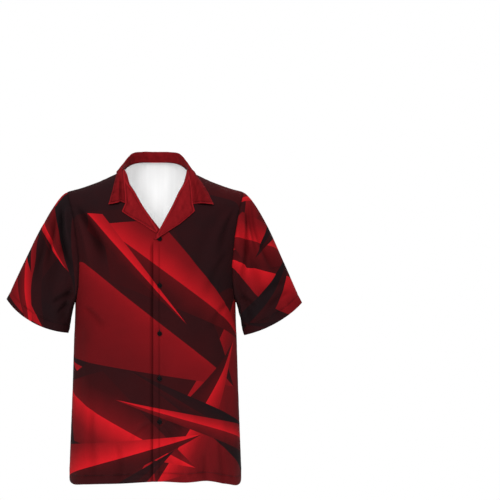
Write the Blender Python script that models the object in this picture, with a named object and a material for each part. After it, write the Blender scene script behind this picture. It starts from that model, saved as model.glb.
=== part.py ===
"""Short-sleeved bowling shirt with an open camp collar and a five-button front.

The shirt is filled out as when it is worn, but hollow: neck, hem, sleeves and armholes are open.
Its origin is the middle of the neck at the height of the shoulder's high point, +X is the
wearer's left, the front faces -Y and +Z is up.  All sizes are in metres, all angles in degrees.

Every panel is a thin wall on a grid of two parameters.  Around the torso an angle runs from the
front (or back) centre, 0, to the side seam, 90; down the torso a share runs from the shoulder
seam, 0, to the hem, 1.  Neighbouring pieces are sampled at the same places along their seam.
"""

from collections import namedtuple

import bpy
import bmesh
import numpy as np

# ---- cloth and gaps ----
CLOTH = 0.0012          # wall of one layer of cloth
SEAM = 0.0003           # gap between neighbouring pieces
LAYER = CLOTH + SEAM    # how far a piece lies over the one below it

# ---- shoulders and armholes ----
NECK_HALF = 0.0765      # high point of the shoulder, from the centre
NECK_Z = -0.006
TIP_HALF = 0.2135       # end of the shoulder seam
TIP_Z = -0.060
SHOULDER_SAG = 0.006    # dip of the shoulder line between its ends
UNDERARM_Z = -0.330
FRONT_ROUND = 0.110     # height over which the shoulder rounds into the chest
BACK_ROUND = 0.100      # the same into the back
NECK_BACK_DEPTH = 0.060  # back neck seam, behind the shoulder seams
NECK_BACK_RISE = 0.0205  # and above them
SIDE_HEM_Z = -0.747     # lower end of the side seam
SQUARENESS = 2.5        # exponent of the torso's rounded section

# ---- front opening ----
BREAK_Z = -0.1787       # where the fronts start to turn out into lapels
BUTTON_X = 0.0095
BUTTON_Z = (-0.1765, -0.2871, -0.4010, -0.5080, -0.6100)
UNDER_SINK_FROM = 0.045  # the lower front starts to slip under the upper one
UNDER_SINK_TO = 0.008    # and lies wholly below it
LAPEL_ROLL_LIFT = 0.0035  # soft swelling of a turned lapel beside its fold

# ---- buttons, 18 lines ----
BUTTON_RADIUS = 0.00575
BUTTON_THICK = 0.0024
BUTTON_RIM = 0.0011     # width of the raised rim
BUTTON_DISH = 0.0005    # depth of the middle below the rim
BUTTON_HOLE = 0.0008    # radius of a thread hole
BUTTON_HOLE_OFF = 0.0016  # thread hole from the centre, across and up

Girth = namedtuple("Girth", "z half_width front back")
GIRTHS = (
    Girth(z=-0.800, half_width=0.2090, front=0.130, back=0.128),
    Girth(z=-0.720, half_width=0.2075, front=0.127, back=0.125),
    Girth(z=-0.625, half_width=0.2040, front=0.123, back=0.121),
    Girth(z=-0.530, half_width=0.2005, front=0.120, back=0.116),
    Girth(z=-0.430, half_width=0.1975, front=0.121, back=0.114),
    Girth(z=-0.330, half_width=0.1945, front=0.125, back=0.118),
    Girth(z=-0.260, half_width=0.1975, front=0.126, back=0.124),
    Girth(z=-0.200, half_width=0.2040, front=0.120, back=0.126),
    Girth(z=-0.130, half_width=0.2180, front=0.106, back=0.120),
    Girth(z=-0.060, half_width=0.2370, front=0.090, back=0.104),
    Girth(z=0.020, half_width=0.2500, front=0.076, back=0.084),
)

Armhole = namedtuple("Armhole", "z front back")
ARMHOLE = (  # how far out the armhole seam lies, on the front and on the back
    Armhole(z=UNDERARM_Z, front=0.1945, back=0.1945),
    Armhole(z=-0.318, front=0.1905, back=0.1920),
    Armhole(z=-0.290, front=0.1860, back=0.1895),
    Armhole(z=-0.250, front=0.1840, back=0.1885),
    Armhole(z=-0.200, front=0.1875, back=0.1900),
    Armhole(z=-0.140, front=0.1955, back=0.1970),
    Armhole(z=-0.090, front=0.2060, back=0.2065),
    Armhole(z=TIP_Z, front=TIP_HALF, back=TIP_HALF),
)

Hem = namedtuple("Hem", "angle upper lower back")
HEM = (  # height of the hem on the upper front, the lower front and the back
    Hem(angle=-20, upper=-0.7500, lower=-0.7510, back=-0.7620),
    Hem(angle=0, upper=-0.7500, lower=-0.7510, back=-0.7620),
    Hem(angle=15, upper=-0.7535, lower=-0.7545, back=-0.7620),
    Hem(angle=30, upper=-0.7510, lower=-0.7570, back=-0.7610),
    Hem(angle=50, upper=-0.7600, lower=-0.7600, back=-0.7580),
    Hem(angle=70, upper=-0.7665, lower=-0.7625, back=-0.7540),
    Hem(angle=82, upper=-0.7600, lower=-0.7570, back=-0.7500),
    Hem(angle=90, upper=SIDE_HEM_Z, lower=SIDE_HEM_Z, back=SIDE_HEM_Z),
)

Opening = namedtuple("Opening", "z upper lower")
OPENING = (  # where each front ends or folds; towards its own side, so past the centre is negative
    Opening(z=BREAK_Z, upper=-0.0052, lower=-0.0244),
    Opening(z=-0.1551, upper=0.0095, lower=-0.0095),
    Opening(z=-0.1280, upper=0.0240, lower=0.0112),
    Opening(z=-0.0980, upper=0.0403, lower=0.0319),
    Opening(z=-0.0650, upper=0.0557, lower=0.0503),
    Opening(z=-0.0400, upper=0.0690, lower=0.0650),
    Opening(z=-0.0194, upper=0.0744, lower=0.0705),
    Opening(z=NECK_Z, upper=NECK_HALF, lower=NECK_HALF),
)

Fold = namedtuple("Fold", "angle_top z_top angle_low z_low width depth")
TORSO_FOLDS = (  # soft troughs; an angle runs from the front centre, 0, past the wearer's left, 90
    Fold(angle_top=55, z_top=-0.085, angle_low=24, z_low=-0.270, width=0.022, depth=0.0050),
    Fold(angle_top=-55, z_top=-0.085, angle_low=-28, z_low=-0.270, width=0.022, depth=0.0055),
    Fold(angle_top=70, z_top=-0.360, angle_low=58, z_low=-0.700, width=0.028, depth=0.0040),
    Fold(angle_top=-66, z_top=-0.340, angle_low=-60, z_low=-0.640, width=0.026, depth=0.0035),
    Fold(angle_top=38, z_top=-0.560, angle_low=34, z_low=-0.800, width=0.030, depth=0.0045),
    Fold(angle_top=-33, z_top=-0.600, angle_low=-36, z_low=-0.800, width=0.028, depth=0.0035),
    Fold(angle_top=128, z_top=-0.110, angle_low=150, z_low=-0.380, width=0.026, depth=0.0050),
    Fold(angle_top=-126, z_top=-0.110, angle_low=-152, z_low=-0.360, width=0.026, depth=0.0050),
    Fold(angle_top=138, z_top=-0.480, angle_low=132, z_low=-0.800, width=0.032, depth=0.0050),
    Fold(angle_top=-146, z_top=-0.520, angle_low=-138, z_low=-0.800, width=0.032, depth=0.0045),
)

Sleeve = namedtuple("Sleeve", "outer_x outer_z inner_x inner_z front_drop back_drop")
SLEEVES = {  # the sleeve hem's outer and inner ends, and its droop between them
    1: Sleeve(outer_x=0.3560, outer_z=-0.3290, inner_x=0.2150, inner_z=-0.4080,
              front_drop=0.010, back_drop=0.006),
    -1: Sleeve(outer_x=0.3600, outer_z=-0.3200, inner_x=0.2105, inner_z=-0.4020,
               front_drop=0.017, back_drop=0.006),
}
SLEEVE_HEM_DEPTH = 0.050    # half of the sleeve hem, front to back
SLEEVE_LEAN = 0.004         # the sleeve hem hangs this far forward
SLEEVE_LEAVES = (0.90, -0.22, -0.44)  # the way a sleeve leaves its armhole: out, forward, down
SLEEVE_PULL_TOP = 0.150     # how strongly it keeps that way, at the shoulder
SLEEVE_PULL_UNDER = 0.035   # and under the arm
SLEEVE_PUSH_TOP = 0.210     # how strongly it follows the arm at the hem, at the shoulder
SLEEVE_PUSH_UNDER = 0.050   # and under the arm

SleeveFold = namedtuple("SleeveFold", "turn_top turn_low start end width depth")
SLEEVE_FOLDS = (  # turn: 0 at the shoulder, 90 in front, 180 under the arm
    SleeveFold(turn_top=38, turn_low=44, start=0.02, end=0.80, width=13, depth=0.0065),
    SleeveFold(turn_top=62, turn_low=96, start=0.02, end=0.75, width=12, depth=0.0060),
    SleeveFold(turn_top=128, turn_low=138, start=0.10, end=0.95, width=13, depth=0.0050),
    SleeveFold(turn_top=-46, turn_low=-58, start=0.04, end=0.85, width=14, depth=0.0060),
    SleeveFold(turn_top=-84, turn_low=-112, start=0.05, end=0.75, width=13, depth=0.0055),
)

# ---- how finely each piece is divided ----
FRONT_COLUMNS = 14
NECK_COLUMNS = 10
SHOULDER_ROWS = 7       # rows that carry the shoulder's rounding
ARMHOLE_ROWS = 6        # rows from the lapels' break to the underarm, closer towards it
BODY_ROWS = 12          # rows from the underarm to the hem
WIDENED = 0.55          # share of the length at which a panel's columns have spread to its full width
SLEEVE_ROWS = 10
COLLAR_STEPS = 20       # from the back centre to each point of the collar
COLLAR_RIBS = 10        # from the neck seam over the fold to the outer edge
LAPEL_RIBS = 5
BUTTON_SIDES = 20


# ---------------------------------------------------------------- shared geometry

def unit(vectors):
    """Vectors scaled to a length of one."""
    return vectors / np.maximum(np.linalg.norm(vectors, axis=-1, keepdims=True), 1e-12)


def ease(share):
    """0 below 0, 1 above 1, and a smooth S between."""
    share = np.clip(share, 0.0, 1.0)
    return share * share * (3.0 - 2.0 * share)


def along(at, keys, values):
    """A smooth curve through a table: cubic pieces whose slopes are the neighbours' average."""
    keys = np.asarray(keys, float)
    values = np.asarray(values, float)
    slopes = np.gradient(values, keys, axis=0)
    at = np.clip(at, keys[0], keys[-1])
    low = np.clip(np.searchsorted(keys, at, side="right") - 1, 0, len(keys) - 2)
    step = keys[low + 1] - keys[low]
    share = (at - keys[low]) / step
    if values.ndim > 1:
        step = step[..., None]
        share = share[..., None]
    square = share * share
    cube = square * share
    start = (2 * cube - 3 * square + 1) * values[low] + (cube - 2 * square + share) * step * slopes[low]
    finish = (3 * square - 2 * cube) * values[low + 1] + (cube - square) * step * slopes[low + 1]
    return start + finish


def column(table, name):
    """One named column of a table."""
    return [getattr(row, name) for row in table]


def girth(z, name):
    """Half-width or depth of the torso at a height."""
    return along(z, column(GIRTHS, "z"), column(GIRTHS, name))


def angle_of(x, z):
    """The angle around the torso, in radians, of a point so far out at a height."""
    share = np.clip(np.abs(x) / girth(z, "half_width"), 0.0, 1.0)
    return np.sign(x) * np.arcsin(share ** (SQUARENESS / 2))


def out_at(angle, z):
    """How far out the torso lies at an angle and a height."""
    return np.sign(angle) * girth(z, "half_width") * np.abs(np.sin(angle)) ** (2 / SQUARENESS)


def shoulder_z(x):
    """Height of the shoulder line: a straight slope with a slight dip in its middle."""
    share = (np.abs(x) - NECK_HALF) / (TIP_HALF - NECK_HALF)
    dip = SHOULDER_SAG * 4 * share * (1 - share) * (share > 0) * (share < 1)
    return NECK_Z + (TIP_Z - NECK_Z) * share - dip


def neck_back(x):
    """Depth and height of the back neck seam, a rounded arch between the shoulders."""
    share = np.clip(np.abs(x) / NECK_HALF, 0.0, 1.0)
    arch = np.maximum(1 - share ** 2.2, 0.0)
    return NECK_BACK_DEPTH * arch ** (1 / 2.2), NECK_Z + NECK_BACK_RISE * arch


def fold_depth(angle, z):
    """How deep the torso's folds press in: bell-shaped troughs along slanting lines."""
    pressed = np.zeros_like(z)
    for fold in TORSO_FOLDS:
        share = (fold.z_top - z) / (fold.z_top - fold.z_low)
        middle = fold.angle_top + (fold.angle_low - fold.angle_top) * np.sqrt(np.clip(share, 0, 1))
        aside = np.radians(angle - middle) * 0.17 / fold.width
        pressed += fold.depth * np.exp(-aside * aside) * ease(share / 0.25) * ease((1.25 - share) / 0.45)
    return pressed


def torso(angle, z, back, side=1, sink=0.0):
    """Points of the torso at angles and heights, on the front or on the back.

    Angles are positive; side -1 reads the folds of the wearer's right, and is mirrored later.

    The section is a rounded rectangle |x/a|^n + |y/b|^n = 1; within FRONT_ROUND or BACK_ROUND
    below the shoulder line its depth closes in on the line as a quarter of an ellipse.
    """
    x = out_at(angle, z)
    full = girth(z, "back" if back else "front") * np.abs(np.cos(angle)) ** (2 / SQUARENESS) - sink
    if back:
        neck_y, neck_z = neck_back(x)
        inside = np.abs(x) < NECK_HALF
        top_z = np.where(inside, neck_z, shoulder_z(x))
        top_y = np.where(inside, neck_y, 0.0) + SEAM / 2
        height = BACK_ROUND
    else:
        top_z = shoulder_z(x)
        top_y = SEAM / 2 + 0.0 * x
        height = FRONT_ROUND
    fall = np.clip((top_z - z) / height, 0.0, 1.0)
    rounding = np.sqrt(1 - (1 - fall) ** 2)
    depth = top_y + (np.maximum(full, top_y) - top_y) * rounding
    sign = 1.0 if back else -1.0
    degrees = np.degrees(angle)
    turned = np.sign(degrees + 1e-9) * (180 - np.abs(degrees)) if back else side * degrees
    pressed = fold_depth(turned, z) * ease(fall * 2)
    depth = depth - pressed * np.abs(np.cos(angle))
    x = x - np.sign(x) * pressed * np.abs(np.sin(angle))
    return np.stack(np.broadcast_arrays(x, sign * depth, z), axis=-1)


def sunk(x, upper):
    """How far the lower front lies behind the upper one: a smooth step near the overlap."""
    if upper:
        return 0.0 * x
    return (LAYER + SEAM) * ease((UNDER_SINK_FROM - x) / (UNDER_SINK_FROM - UNDER_SINK_TO))


def chest(x, z, upper=True):
    """A point of a front at x and z."""
    x, z = np.broadcast_arrays(np.asarray(x, float), np.asarray(z, float))
    point = torso(angle_of(x, z), z, False, 1 if upper else -1, sunk(x, upper))
    point[..., 0] = x
    return point


def chest_normal(x, z, upper=True):
    """The direction straight off a front at x and z, from two neighbours 1 mm away."""
    point = chest(x, z, upper)
    across = chest(np.asarray(x) + 0.001, z, upper) - point
    down = chest(x, np.asarray(z) - 0.001, upper) - point
    return unit(np.cross(down, across))


def on_front(x, z, lift, upper=True):
    """A point of a front at x and z, lifted straight off it."""
    return chest(x, z, upper) + chest_normal(x, z, upper) * np.asarray(lift)[..., None]


def share_rows():
    """The rows of a torso panel, as shares from the shoulder to the hem.

    The first ones follow the shoulder's rounding; one lies at the break of the lapels and one
    at the underarm.
    """
    length = TIP_Z - SIDE_HEM_Z
    turn = np.radians(np.linspace(0, 84, SHOULDER_ROWS))
    rounding = (1 - np.cos(turn)) * FRONT_ROUND / length
    at_break = (NECK_Z - BREAK_Z) / (NECK_Z - HEM[1].upper)
    at_underarm = (TIP_Z - UNDERARM_Z) / length
    toward_underarm = np.sin(np.linspace(0, np.pi / 2, ARMHOLE_ROWS + 1))[1:]
    return (
        np.concatenate([
            rounding,
            np.linspace(rounding[-1], at_break, 4)[1:],
            at_break + (at_underarm - at_break) * toward_underarm,
            np.linspace(at_underarm, 1.0, BODY_ROWS + 1)[1:],
        ]),
        SHOULDER_ROWS + 3 + ARMHOLE_ROWS - 1,
    )


ROWS, UNDERARM_ROW = share_rows()


def side_angles(outer, steps):
    """Angles of a panel's columns, as its side edge's angle times a share of 0 to 1.

    Only the outer columns follow the armhole; the inner ones widen evenly from row to row.
    """
    top = outer[0]
    even = top + (np.pi / 2 - top) * ease(ROWS[:, None] / WIDENED)
    return even * steps + (outer - even) * steps ** 4


def armhole_x(z, name):
    """How far out the armhole or, below it, the side seam lies."""
    seam = along(z, column(ARMHOLE, "z"), column(ARMHOLE, name))
    return np.where(z > UNDERARM_Z + 1e-6, seam, girth(z, "half_width"))


def front_grid(upper):
    """Outer points of a front, as rows from shoulder to hem and columns from opening to side."""
    name = "upper" if upper else "lower"
    rows = ROWS[:, None]
    steps = np.linspace(0, 1, FRONT_COLUMNS + 1)[None, :]
    hem_z = along(np.array([0.0, 90.0]), column(HEM, "angle"), column(HEM, name))
    inner_z = NECK_Z + (hem_z[0] - NECK_Z) * rows
    outer_z = TIP_Z + (hem_z[1] - TIP_Z) * rows
    inner_x = along(inner_z, column(OPENING, "z"), column(OPENING, name))
    outer_x = armhole_x(outer_z, "front")
    inner_angle = angle_of(inner_x, inner_z)
    outer_angle = angle_of(outer_x, outer_z)
    angle = inner_angle * (1 - steps) + side_angles(outer_angle, steps)
    z = inner_z + (outer_z - inner_z) * steps
    x = out_at(angle, z)
    share = (x - inner_x) / (outer_x - inner_x)
    dip = (shoulder_z(x) - (NECK_Z + (TIP_Z - NECK_Z) * (np.abs(x) - NECK_HALF) / (TIP_HALF - NECK_HALF)))
    z = inner_z + (outer_z - inner_z) * share + dip * (1 - rows) ** 6
    level = hem_z[0] + (hem_z[1] - hem_z[0]) * share
    hem = along(np.degrees(angle), column(HEM, "angle"), column(HEM, name)) - level
    z = z + hem * rows ** 8
    angle = angle_of(x, z)
    angle[:, -1] = np.where(ROWS >= ROWS[UNDERARM_ROW] - 1e-9, np.pi / 2, angle[:, -1])
    return torso(angle, z, False, 1 if upper else -1, sunk(x, upper))


def back_grid():
    """Outer points of the back, as rows from shoulder to hem, columns from right side to left."""
    rows = ROWS[:, None]
    neck_angle = angle_of(np.array(NECK_HALF), np.array(NECK_Z))
    tip_angle = angle_of(np.array(TIP_HALF), np.array(TIP_Z))
    shoulder = np.linspace(neck_angle, tip_angle, FRONT_COLUMNS + 1)
    neck = np.linspace(-neck_angle, neck_angle, NECK_COLUMNS + 1)[1:-1]
    top_angle = np.concatenate([-shoulder[::-1], neck, shoulder])[None, :]
    steps = np.clip((np.abs(top_angle) - neck_angle) / (tip_angle - neck_angle), 0, 1)
    hem_z = along(np.array([0.0, 90.0]), column(HEM, "angle"), column(HEM, "back"))
    outer_z = TIP_Z + (hem_z[1] - TIP_Z) * rows
    outer_angle = angle_of(armhole_x(outer_z, "back"), outer_z)
    angle = np.sign(top_angle) * side_angles(outer_angle, np.abs(top_angle) / tip_angle)
    top_x = out_at(top_angle, NECK_Z + (TIP_Z - NECK_Z) * steps)
    top_z = np.where(np.abs(top_x) < NECK_HALF - 1e-9, neck_back(top_x)[1], shoulder_z(top_x))
    low_z = hem_z[0] + (hem_z[1] - hem_z[0]) * np.abs(np.sin(angle)) ** (2 / SQUARENESS)
    z = top_z + (low_z - top_z) * rows
    hem = along(np.abs(np.degrees(angle)), column(HEM, "angle"), column(HEM, "back")) - low_z
    z = z + hem * rows ** 8
    x = out_at(angle, z)
    x[0] = top_x[0]
    z[0] = top_z[0]
    angle = angle_of(x, z)
    below = ROWS >= ROWS[UNDERARM_ROW] - 1e-9
    angle[:, 0] = np.where(below, -np.pi / 2, angle[:, 0])
    angle[:, -1] = np.where(below, np.pi / 2, angle[:, -1])
    return torso(angle, z, True)


# ---------------------------------------------------------------- walls and objects

def facing(grid, ring=False):
    """Unit normals of a grid of points, from its neighbours' differences."""
    down = np.gradient(grid, axis=0)
    if ring:
        across = (np.roll(grid, -1, axis=1) - np.roll(grid, 1, axis=1)) / 2
    else:
        across = np.gradient(grid, axis=1)
    return unit(np.cross(down, across))


def make_object(name, verts, faces, material):
    """One mesh object with its faces turned outwards and its own material."""
    mesh = bpy.data.meshes.new(name)
    mesh.from_pydata([tuple(v) for v in verts], [], [tuple(f) for f in faces])
    work = bmesh.new()
    work.from_mesh(mesh)
    bmesh.ops.recalc_face_normals(work, faces=work.faces)
    work.to_mesh(mesh)
    work.free()
    mesh.materials.append(material)
    mesh.shade_smooth()
    mesh.set_sharp_from_angle(angle=np.radians(40))
    thing = bpy.data.objects.new(name, mesh)
    bpy.context.scene.collection.objects.link(thing)
    return thing


def wall(name, outer, inward, material, ring=False):
    """A closed wall of cloth: a grid, the same grid moved inwards, and strips round the edges."""
    rows, columns = outer.shape[:2]
    verts = np.concatenate([outer.reshape(-1, 3), (outer + CLOTH * inward).reshape(-1, 3)])
    index = np.arange(rows * columns).reshape(rows, columns)
    if ring:
        index = np.concatenate([index, index[:, :1]], axis=1)
    a = index[:-1, :-1].ravel()
    b = index[:-1, 1:].ravel()
    c = index[1:, 1:].ravel()
    d = index[1:, :-1].ravel()
    skin = np.concatenate([np.stack([a, b, c], 1), np.stack([a, c, d], 1)])
    lining = skin[:, ::-1] + rows * columns
    edges = [index[0], index[-1][::-1]]
    if not ring:
        edges += [index[::-1, 0], index[:, -1]]
    strips = []
    for edge in edges:
        start = edge[:-1]
        end = edge[1:]
        strips.append(np.stack([end, start, start + rows * columns], 1))
        strips.append(np.stack([end, start + rows * columns, end + rows * columns], 1))
    return make_object(name, verts, np.concatenate([skin, lining] + strips), material)


def cloth_material(name, color):
    """Matt woven polyester of one base colour."""
    material = bpy.data.materials.new(name)
    material.use_nodes = True
    shader = material.node_tree.nodes["Principled BSDF"]
    shader.inputs["Base Color"].default_value = (*color, 1.0)
    shader.inputs["Roughness"].default_value = 0.75
    shader.inputs["Metallic"].default_value = 0.0
    return material


# ---------------------------------------------------------------- fronts and back

def square_to_sleeve(inward, side):
    """Turns the wall's thickness square to the sleeve at the shoulder, and less further down."""
    leave = unit(np.array([side * SLEEVE_LEAVES[0], 0.0, SLEEVE_LEAVES[2]]))
    share = (1 - np.linspace(0, 1, len(inward))[:, None]) ** 0.5
    return unit(inward - share * (inward @ leave)[:, None] * leave)


def make_front(side, upper):
    """A front, on the wearer's left for side 1; the upper one carries the buttonholes."""
    grid = front_grid(upper)
    inward = -facing(grid)
    inward = np.where((inward[..., 1:2] < 0) & (np.abs(inward[..., :1]) < 0.5), -inward, inward)
    inward[0, :, 1] = 0.0
    inward[UNDERARM_ROW:, -1, 1] = 0.0
    inward[UNDERARM_ROW:, -1, 0] = -np.abs(inward[UNDERARM_ROW:, -1, 0])
    inward[:UNDERARM_ROW, -1] = square_to_sleeve(inward[:UNDERARM_ROW, -1], 1)
    inward = unit(inward)
    grid[UNDERARM_ROW:, -1, 1] = -SEAM / 2
    mirror = np.array([side, 1, 1])
    name = "front_left" if side > 0 else "front_right"
    return wall(name, grid * mirror, inward * mirror, cloth_material(name, (0.16, 0.012, 0.014)))


def make_back():
    """The back, cut in one piece from side seam to side seam."""
    grid = back_grid()
    inward = facing(grid)
    toward = np.array([0.0, -1.0, 0.0])
    inward = np.where((inward @ toward)[..., None] < -0.3, -inward, inward)
    neck = slice(FRONT_COLUMNS + 1, FRONT_COLUMNS + NECK_COLUMNS)
    kept = inward[0, neck].copy()
    inward[0, :, 1] = 0.0
    inward[0, neck] = kept
    for edge in (0, -1):
        inward[UNDERARM_ROW:, edge, 1] = 0.0
        inward[:UNDERARM_ROW, edge] = square_to_sleeve(inward[:UNDERARM_ROW, edge], 1 if edge else -1)
        grid[UNDERARM_ROW:, edge, 1] = SEAM / 2
    inward = unit(inward)
    return wall("back", grid, inward, cloth_material("back", (0.12, 0.012, 0.014)))


# ---------------------------------------------------------------- sleeves

def armhole_loop(side):
    """The armhole seam, from the shoulder down the front, under the arm and up the back."""
    front = front_grid(side > 0)[: UNDERARM_ROW + 1, -1]
    back = back_grid()[: UNDERARM_ROW + 1, -1 if side > 0 else 0] * np.array([side, 1, 1])
    front[0, 1] = 0.0
    front[-1, 1] = 0.0
    return np.concatenate([front, back[UNDERARM_ROW - 1:0:-1]])


def around(loop):
    """The turn of each point of an armhole, by its length along the front and along the back."""
    closed = np.concatenate([loop, loop[:1]])
    lengths = np.concatenate([[0], np.cumsum(np.linalg.norm(np.diff(closed, axis=0), axis=1))])
    low = UNDERARM_ROW
    front = 180 * lengths[: low + 1] / lengths[low]
    back = 180 + 180 * (lengths[low + 1:-1] - lengths[low]) / (lengths[-1] - lengths[low])
    return np.concatenate([front, back])


def sleeve_grid(side):
    """Outer points of a sleeve: cubic curves from the armhole to a drooping oval hem."""
    cut = SLEEVES[side]
    loop = armhole_loop(side)
    turn = np.radians(around(loop))[None, :, None]
    down = np.linspace(0, 1, SLEEVE_ROWS + 1)[:, None, None]
    outer = np.array([cut.outer_x, 0.0, cut.outer_z])
    inner = np.array([cut.inner_x, 0.0, cut.inner_z])
    half = (outer - inner) / 2
    axis = unit(np.array([-half[2], 0.0, half[0]])) * -1
    axis = axis * np.sign(-axis[2])
    droop = np.where(np.sin(turn) > 0, cut.front_drop, cut.back_drop) * np.sin(turn) ** 2
    hem = (outer + inner) / 2 + np.cos(turn) * half + axis * droop
    hem = hem + np.array([0.0, -1.0, 0.0]) * (SLEEVE_HEM_DEPTH * np.sin(turn) + SLEEVE_LEAN)
    height = (1 + np.cos(turn)) / 2
    leave = unit(np.concatenate([
        SLEEVE_LEAVES[0] + 0 * turn, SLEEVE_LEAVES[1] * np.sin(turn), SLEEVE_LEAVES[2] + 0 * turn], axis=-1))
    start = loop[None] + leave * SEAM
    pull = leave * (SLEEVE_PULL_UNDER + (SLEEVE_PULL_TOP - SLEEVE_PULL_UNDER) * height)
    push = axis * (SLEEVE_PUSH_UNDER + (SLEEVE_PUSH_TOP - SLEEVE_PUSH_UNDER) * height)
    square = down ** 2
    cube = down ** 3
    grid = ((2 * cube - 3 * square + 1) * start + (cube - 2 * square + down) * pull
            + (3 * square - 2 * cube) * hem + (cube - square) * push)
    return grid, np.degrees(turn[0, :, 0]), down[:, 0, 0], leave[0]


def sleeve_folds(grid, outward, turn, down):
    """Presses the sleeve's folds in: bell-shaped troughs that fan out from the shoulder."""
    turn = np.where(turn > 180, turn - 360, turn)[None, :]
    down = down[:, None]
    pressed = np.zeros(grid.shape[:2])
    for fold in SLEEVE_FOLDS:
        middle = fold.turn_top + (fold.turn_low - fold.turn_top) * down
        aside = (turn - middle) / fold.width
        fade = ease((down - fold.start) / 0.2) * ease((fold.end - down) / 0.3)
        pressed += fold.depth * np.exp(-aside * aside) * fade
    return grid - outward * pressed[..., None]


def make_sleeve(side):
    """A sleeve, closed to a tube by its underarm seam, on the wearer's left for side 1."""
    grid, turn, down, leave = sleeve_grid(side)
    middle = grid.mean(axis=1, keepdims=True)
    outward = facing(grid, ring=True)
    outward = outward * np.sign((outward * (grid - middle)).sum(axis=(1, 2)))[:, None, None]
    grid = sleeve_folds(grid, outward, turn, down)
    outward[0] = unit(outward[0] - (outward[0] * leave).sum(axis=-1, keepdims=True) * leave)
    mirror = np.array([side, 1, 1])
    name = "sleeve_left" if side > 0 else "sleeve_right"
    material = cloth_material(name, (0.20, 0.012, 0.014))
    return wall(name, grid * mirror, -outward * mirror, material, ring=True)


# ---------------------------------------------------------------- collar and lapels

LapelRow = namedtuple("LapelRow", "roll_z edge_x edge_z lift")
LAPELS = {  # from the bottom tip along the lower edge to the corner, then up the collar seam
    True: (
        LapelRow(roll_z=-0.1765, edge_x=0.0002, edge_z=-0.1785, lift=0.0036),
        LapelRow(roll_z=-0.1715, edge_x=0.0137, edge_z=-0.1692, lift=0.0054),
        LapelRow(roll_z=-0.1650, edge_x=0.0285, edge_z=-0.1596, lift=0.0042),
        LapelRow(roll_z=-0.1480, edge_x=0.0585, edge_z=-0.1402, lift=0.0032),
        LapelRow(roll_z=-0.1290, edge_x=0.0832, edge_z=-0.1190, lift=0.0026),
        LapelRow(roll_z=-0.1180, edge_x=0.0928, edge_z=-0.1102, lift=0.0026),
        LapelRow(roll_z=-0.1000, edge_x=0.0885, edge_z=-0.0935, lift=0.0024),
        LapelRow(roll_z=-0.0700, edge_x=0.0865, edge_z=-0.0650, lift=0.0024),
        LapelRow(roll_z=-0.0430, edge_x=0.0835, edge_z=-0.0400, lift=0.0024),
        LapelRow(roll_z=-0.0240, edge_x=0.0797, edge_z=-0.0225, lift=0.0024),
        LapelRow(roll_z=-0.0160, edge_x=0.0785, edge_z=-0.0160, lift=0.0022),
    ),
    False: (
        LapelRow(roll_z=-0.1535, edge_x=-0.0012, edge_z=-0.1625, lift=0.0024),
        LapelRow(roll_z=-0.1400, edge_x=0.0150, edge_z=-0.1523, lift=0.0026),
        LapelRow(roll_z=-0.1260, edge_x=0.0311, edge_z=-0.1418, lift=0.0028),
        LapelRow(roll_z=-0.1130, edge_x=0.0611, edge_z=-0.1242, lift=0.0028),
        LapelRow(roll_z=-0.1030, edge_x=0.0797, edge_z=-0.1118, lift=0.0028),
        LapelRow(roll_z=-0.0890, edge_x=0.0717, edge_z=-0.0918, lift=0.0024),
        LapelRow(roll_z=-0.0650, edge_x=0.0735, edge_z=-0.0640, lift=0.0024),
        LapelRow(roll_z=-0.0420, edge_x=0.0757, edge_z=-0.0400, lift=0.0024),
        LapelRow(roll_z=-0.0240, edge_x=0.0767, edge_z=-0.0225, lift=0.0024),
        LapelRow(roll_z=-0.0160, edge_x=0.0776, edge_z=-0.0160, lift=0.0022),
    ),
}

CollarRow = namedtuple("CollarRow", "seam_x roll edge")
COLLAR_BACK = (  # place on the back neck seam, top of the fold and outer edge, from the back centre
    CollarRow(seam_x=0.0000, roll=(0.0000, 0.0665, 0.0405), edge=(0.0000, 0.0775, 0.0045)),
    CollarRow(seam_x=0.0310, roll=(0.0330, 0.0605, 0.0385), edge=(0.0400, 0.0710, 0.0020)),
    CollarRow(seam_x=0.0540, roll=(0.0565, 0.0435, 0.0300), edge=(0.0680, 0.0530, -0.0030)),
    CollarRow(seam_x=0.0690, roll=(0.0712, 0.0215, 0.0185), edge=(0.0835, 0.0280, -0.0090)),
    CollarRow(seam_x=0.0758, roll=(0.0775, 0.0030, 0.0082), edge=(0.0900, 0.0020, -0.0098)),
)
COLLAR_TURN = (0.0778, -0.0085)  # where the neck seam passes from the stand to the lapel, x and z
COLLAR_TURN_ROLL = (0.0820, -0.0180, -0.0010)
COLLAR_TURN_EDGE = (0.0945, -0.0180, -0.0122)

LeafRow = namedtuple("LeafRow", "seam_x seam_z edge_x edge_z")
LEAVES = {  # the collar's two points, lying on the chest beside the lapels
    True: (
        LeafRow(seam_x=0.0806, seam_z=-0.0230, edge_x=0.0990, edge_z=-0.0250),
        LeafRow(seam_x=0.0843, seam_z=-0.0390, edge_x=0.1085, edge_z=-0.0385),
        LeafRow(seam_x=0.0870, seam_z=-0.0610, edge_x=0.1205, edge_z=-0.0570),
        LeafRow(seam_x=0.0885, seam_z=-0.0790, edge_x=0.1300, edge_z=-0.0775),
        LeafRow(seam_x=0.0895, seam_z=-0.0925, edge_x=0.1362, edge_z=-0.0955),
    ),
    False: (
        LeafRow(seam_x=0.0776, seam_z=-0.0230, edge_x=0.0935, edge_z=-0.0235),
        LeafRow(seam_x=0.0768, seam_z=-0.0390, edge_x=0.0975, edge_z=-0.0370),
        LeafRow(seam_x=0.0755, seam_z=-0.0580, edge_x=0.1015, edge_z=-0.0560),
        LeafRow(seam_x=0.0740, seam_z=-0.0750, edge_x=0.1060, edge_z=-0.0760),
        LeafRow(seam_x=0.0727, seam_z=-0.0905, edge_x=0.1105, edge_z=-0.0955),
    ),
}
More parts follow.
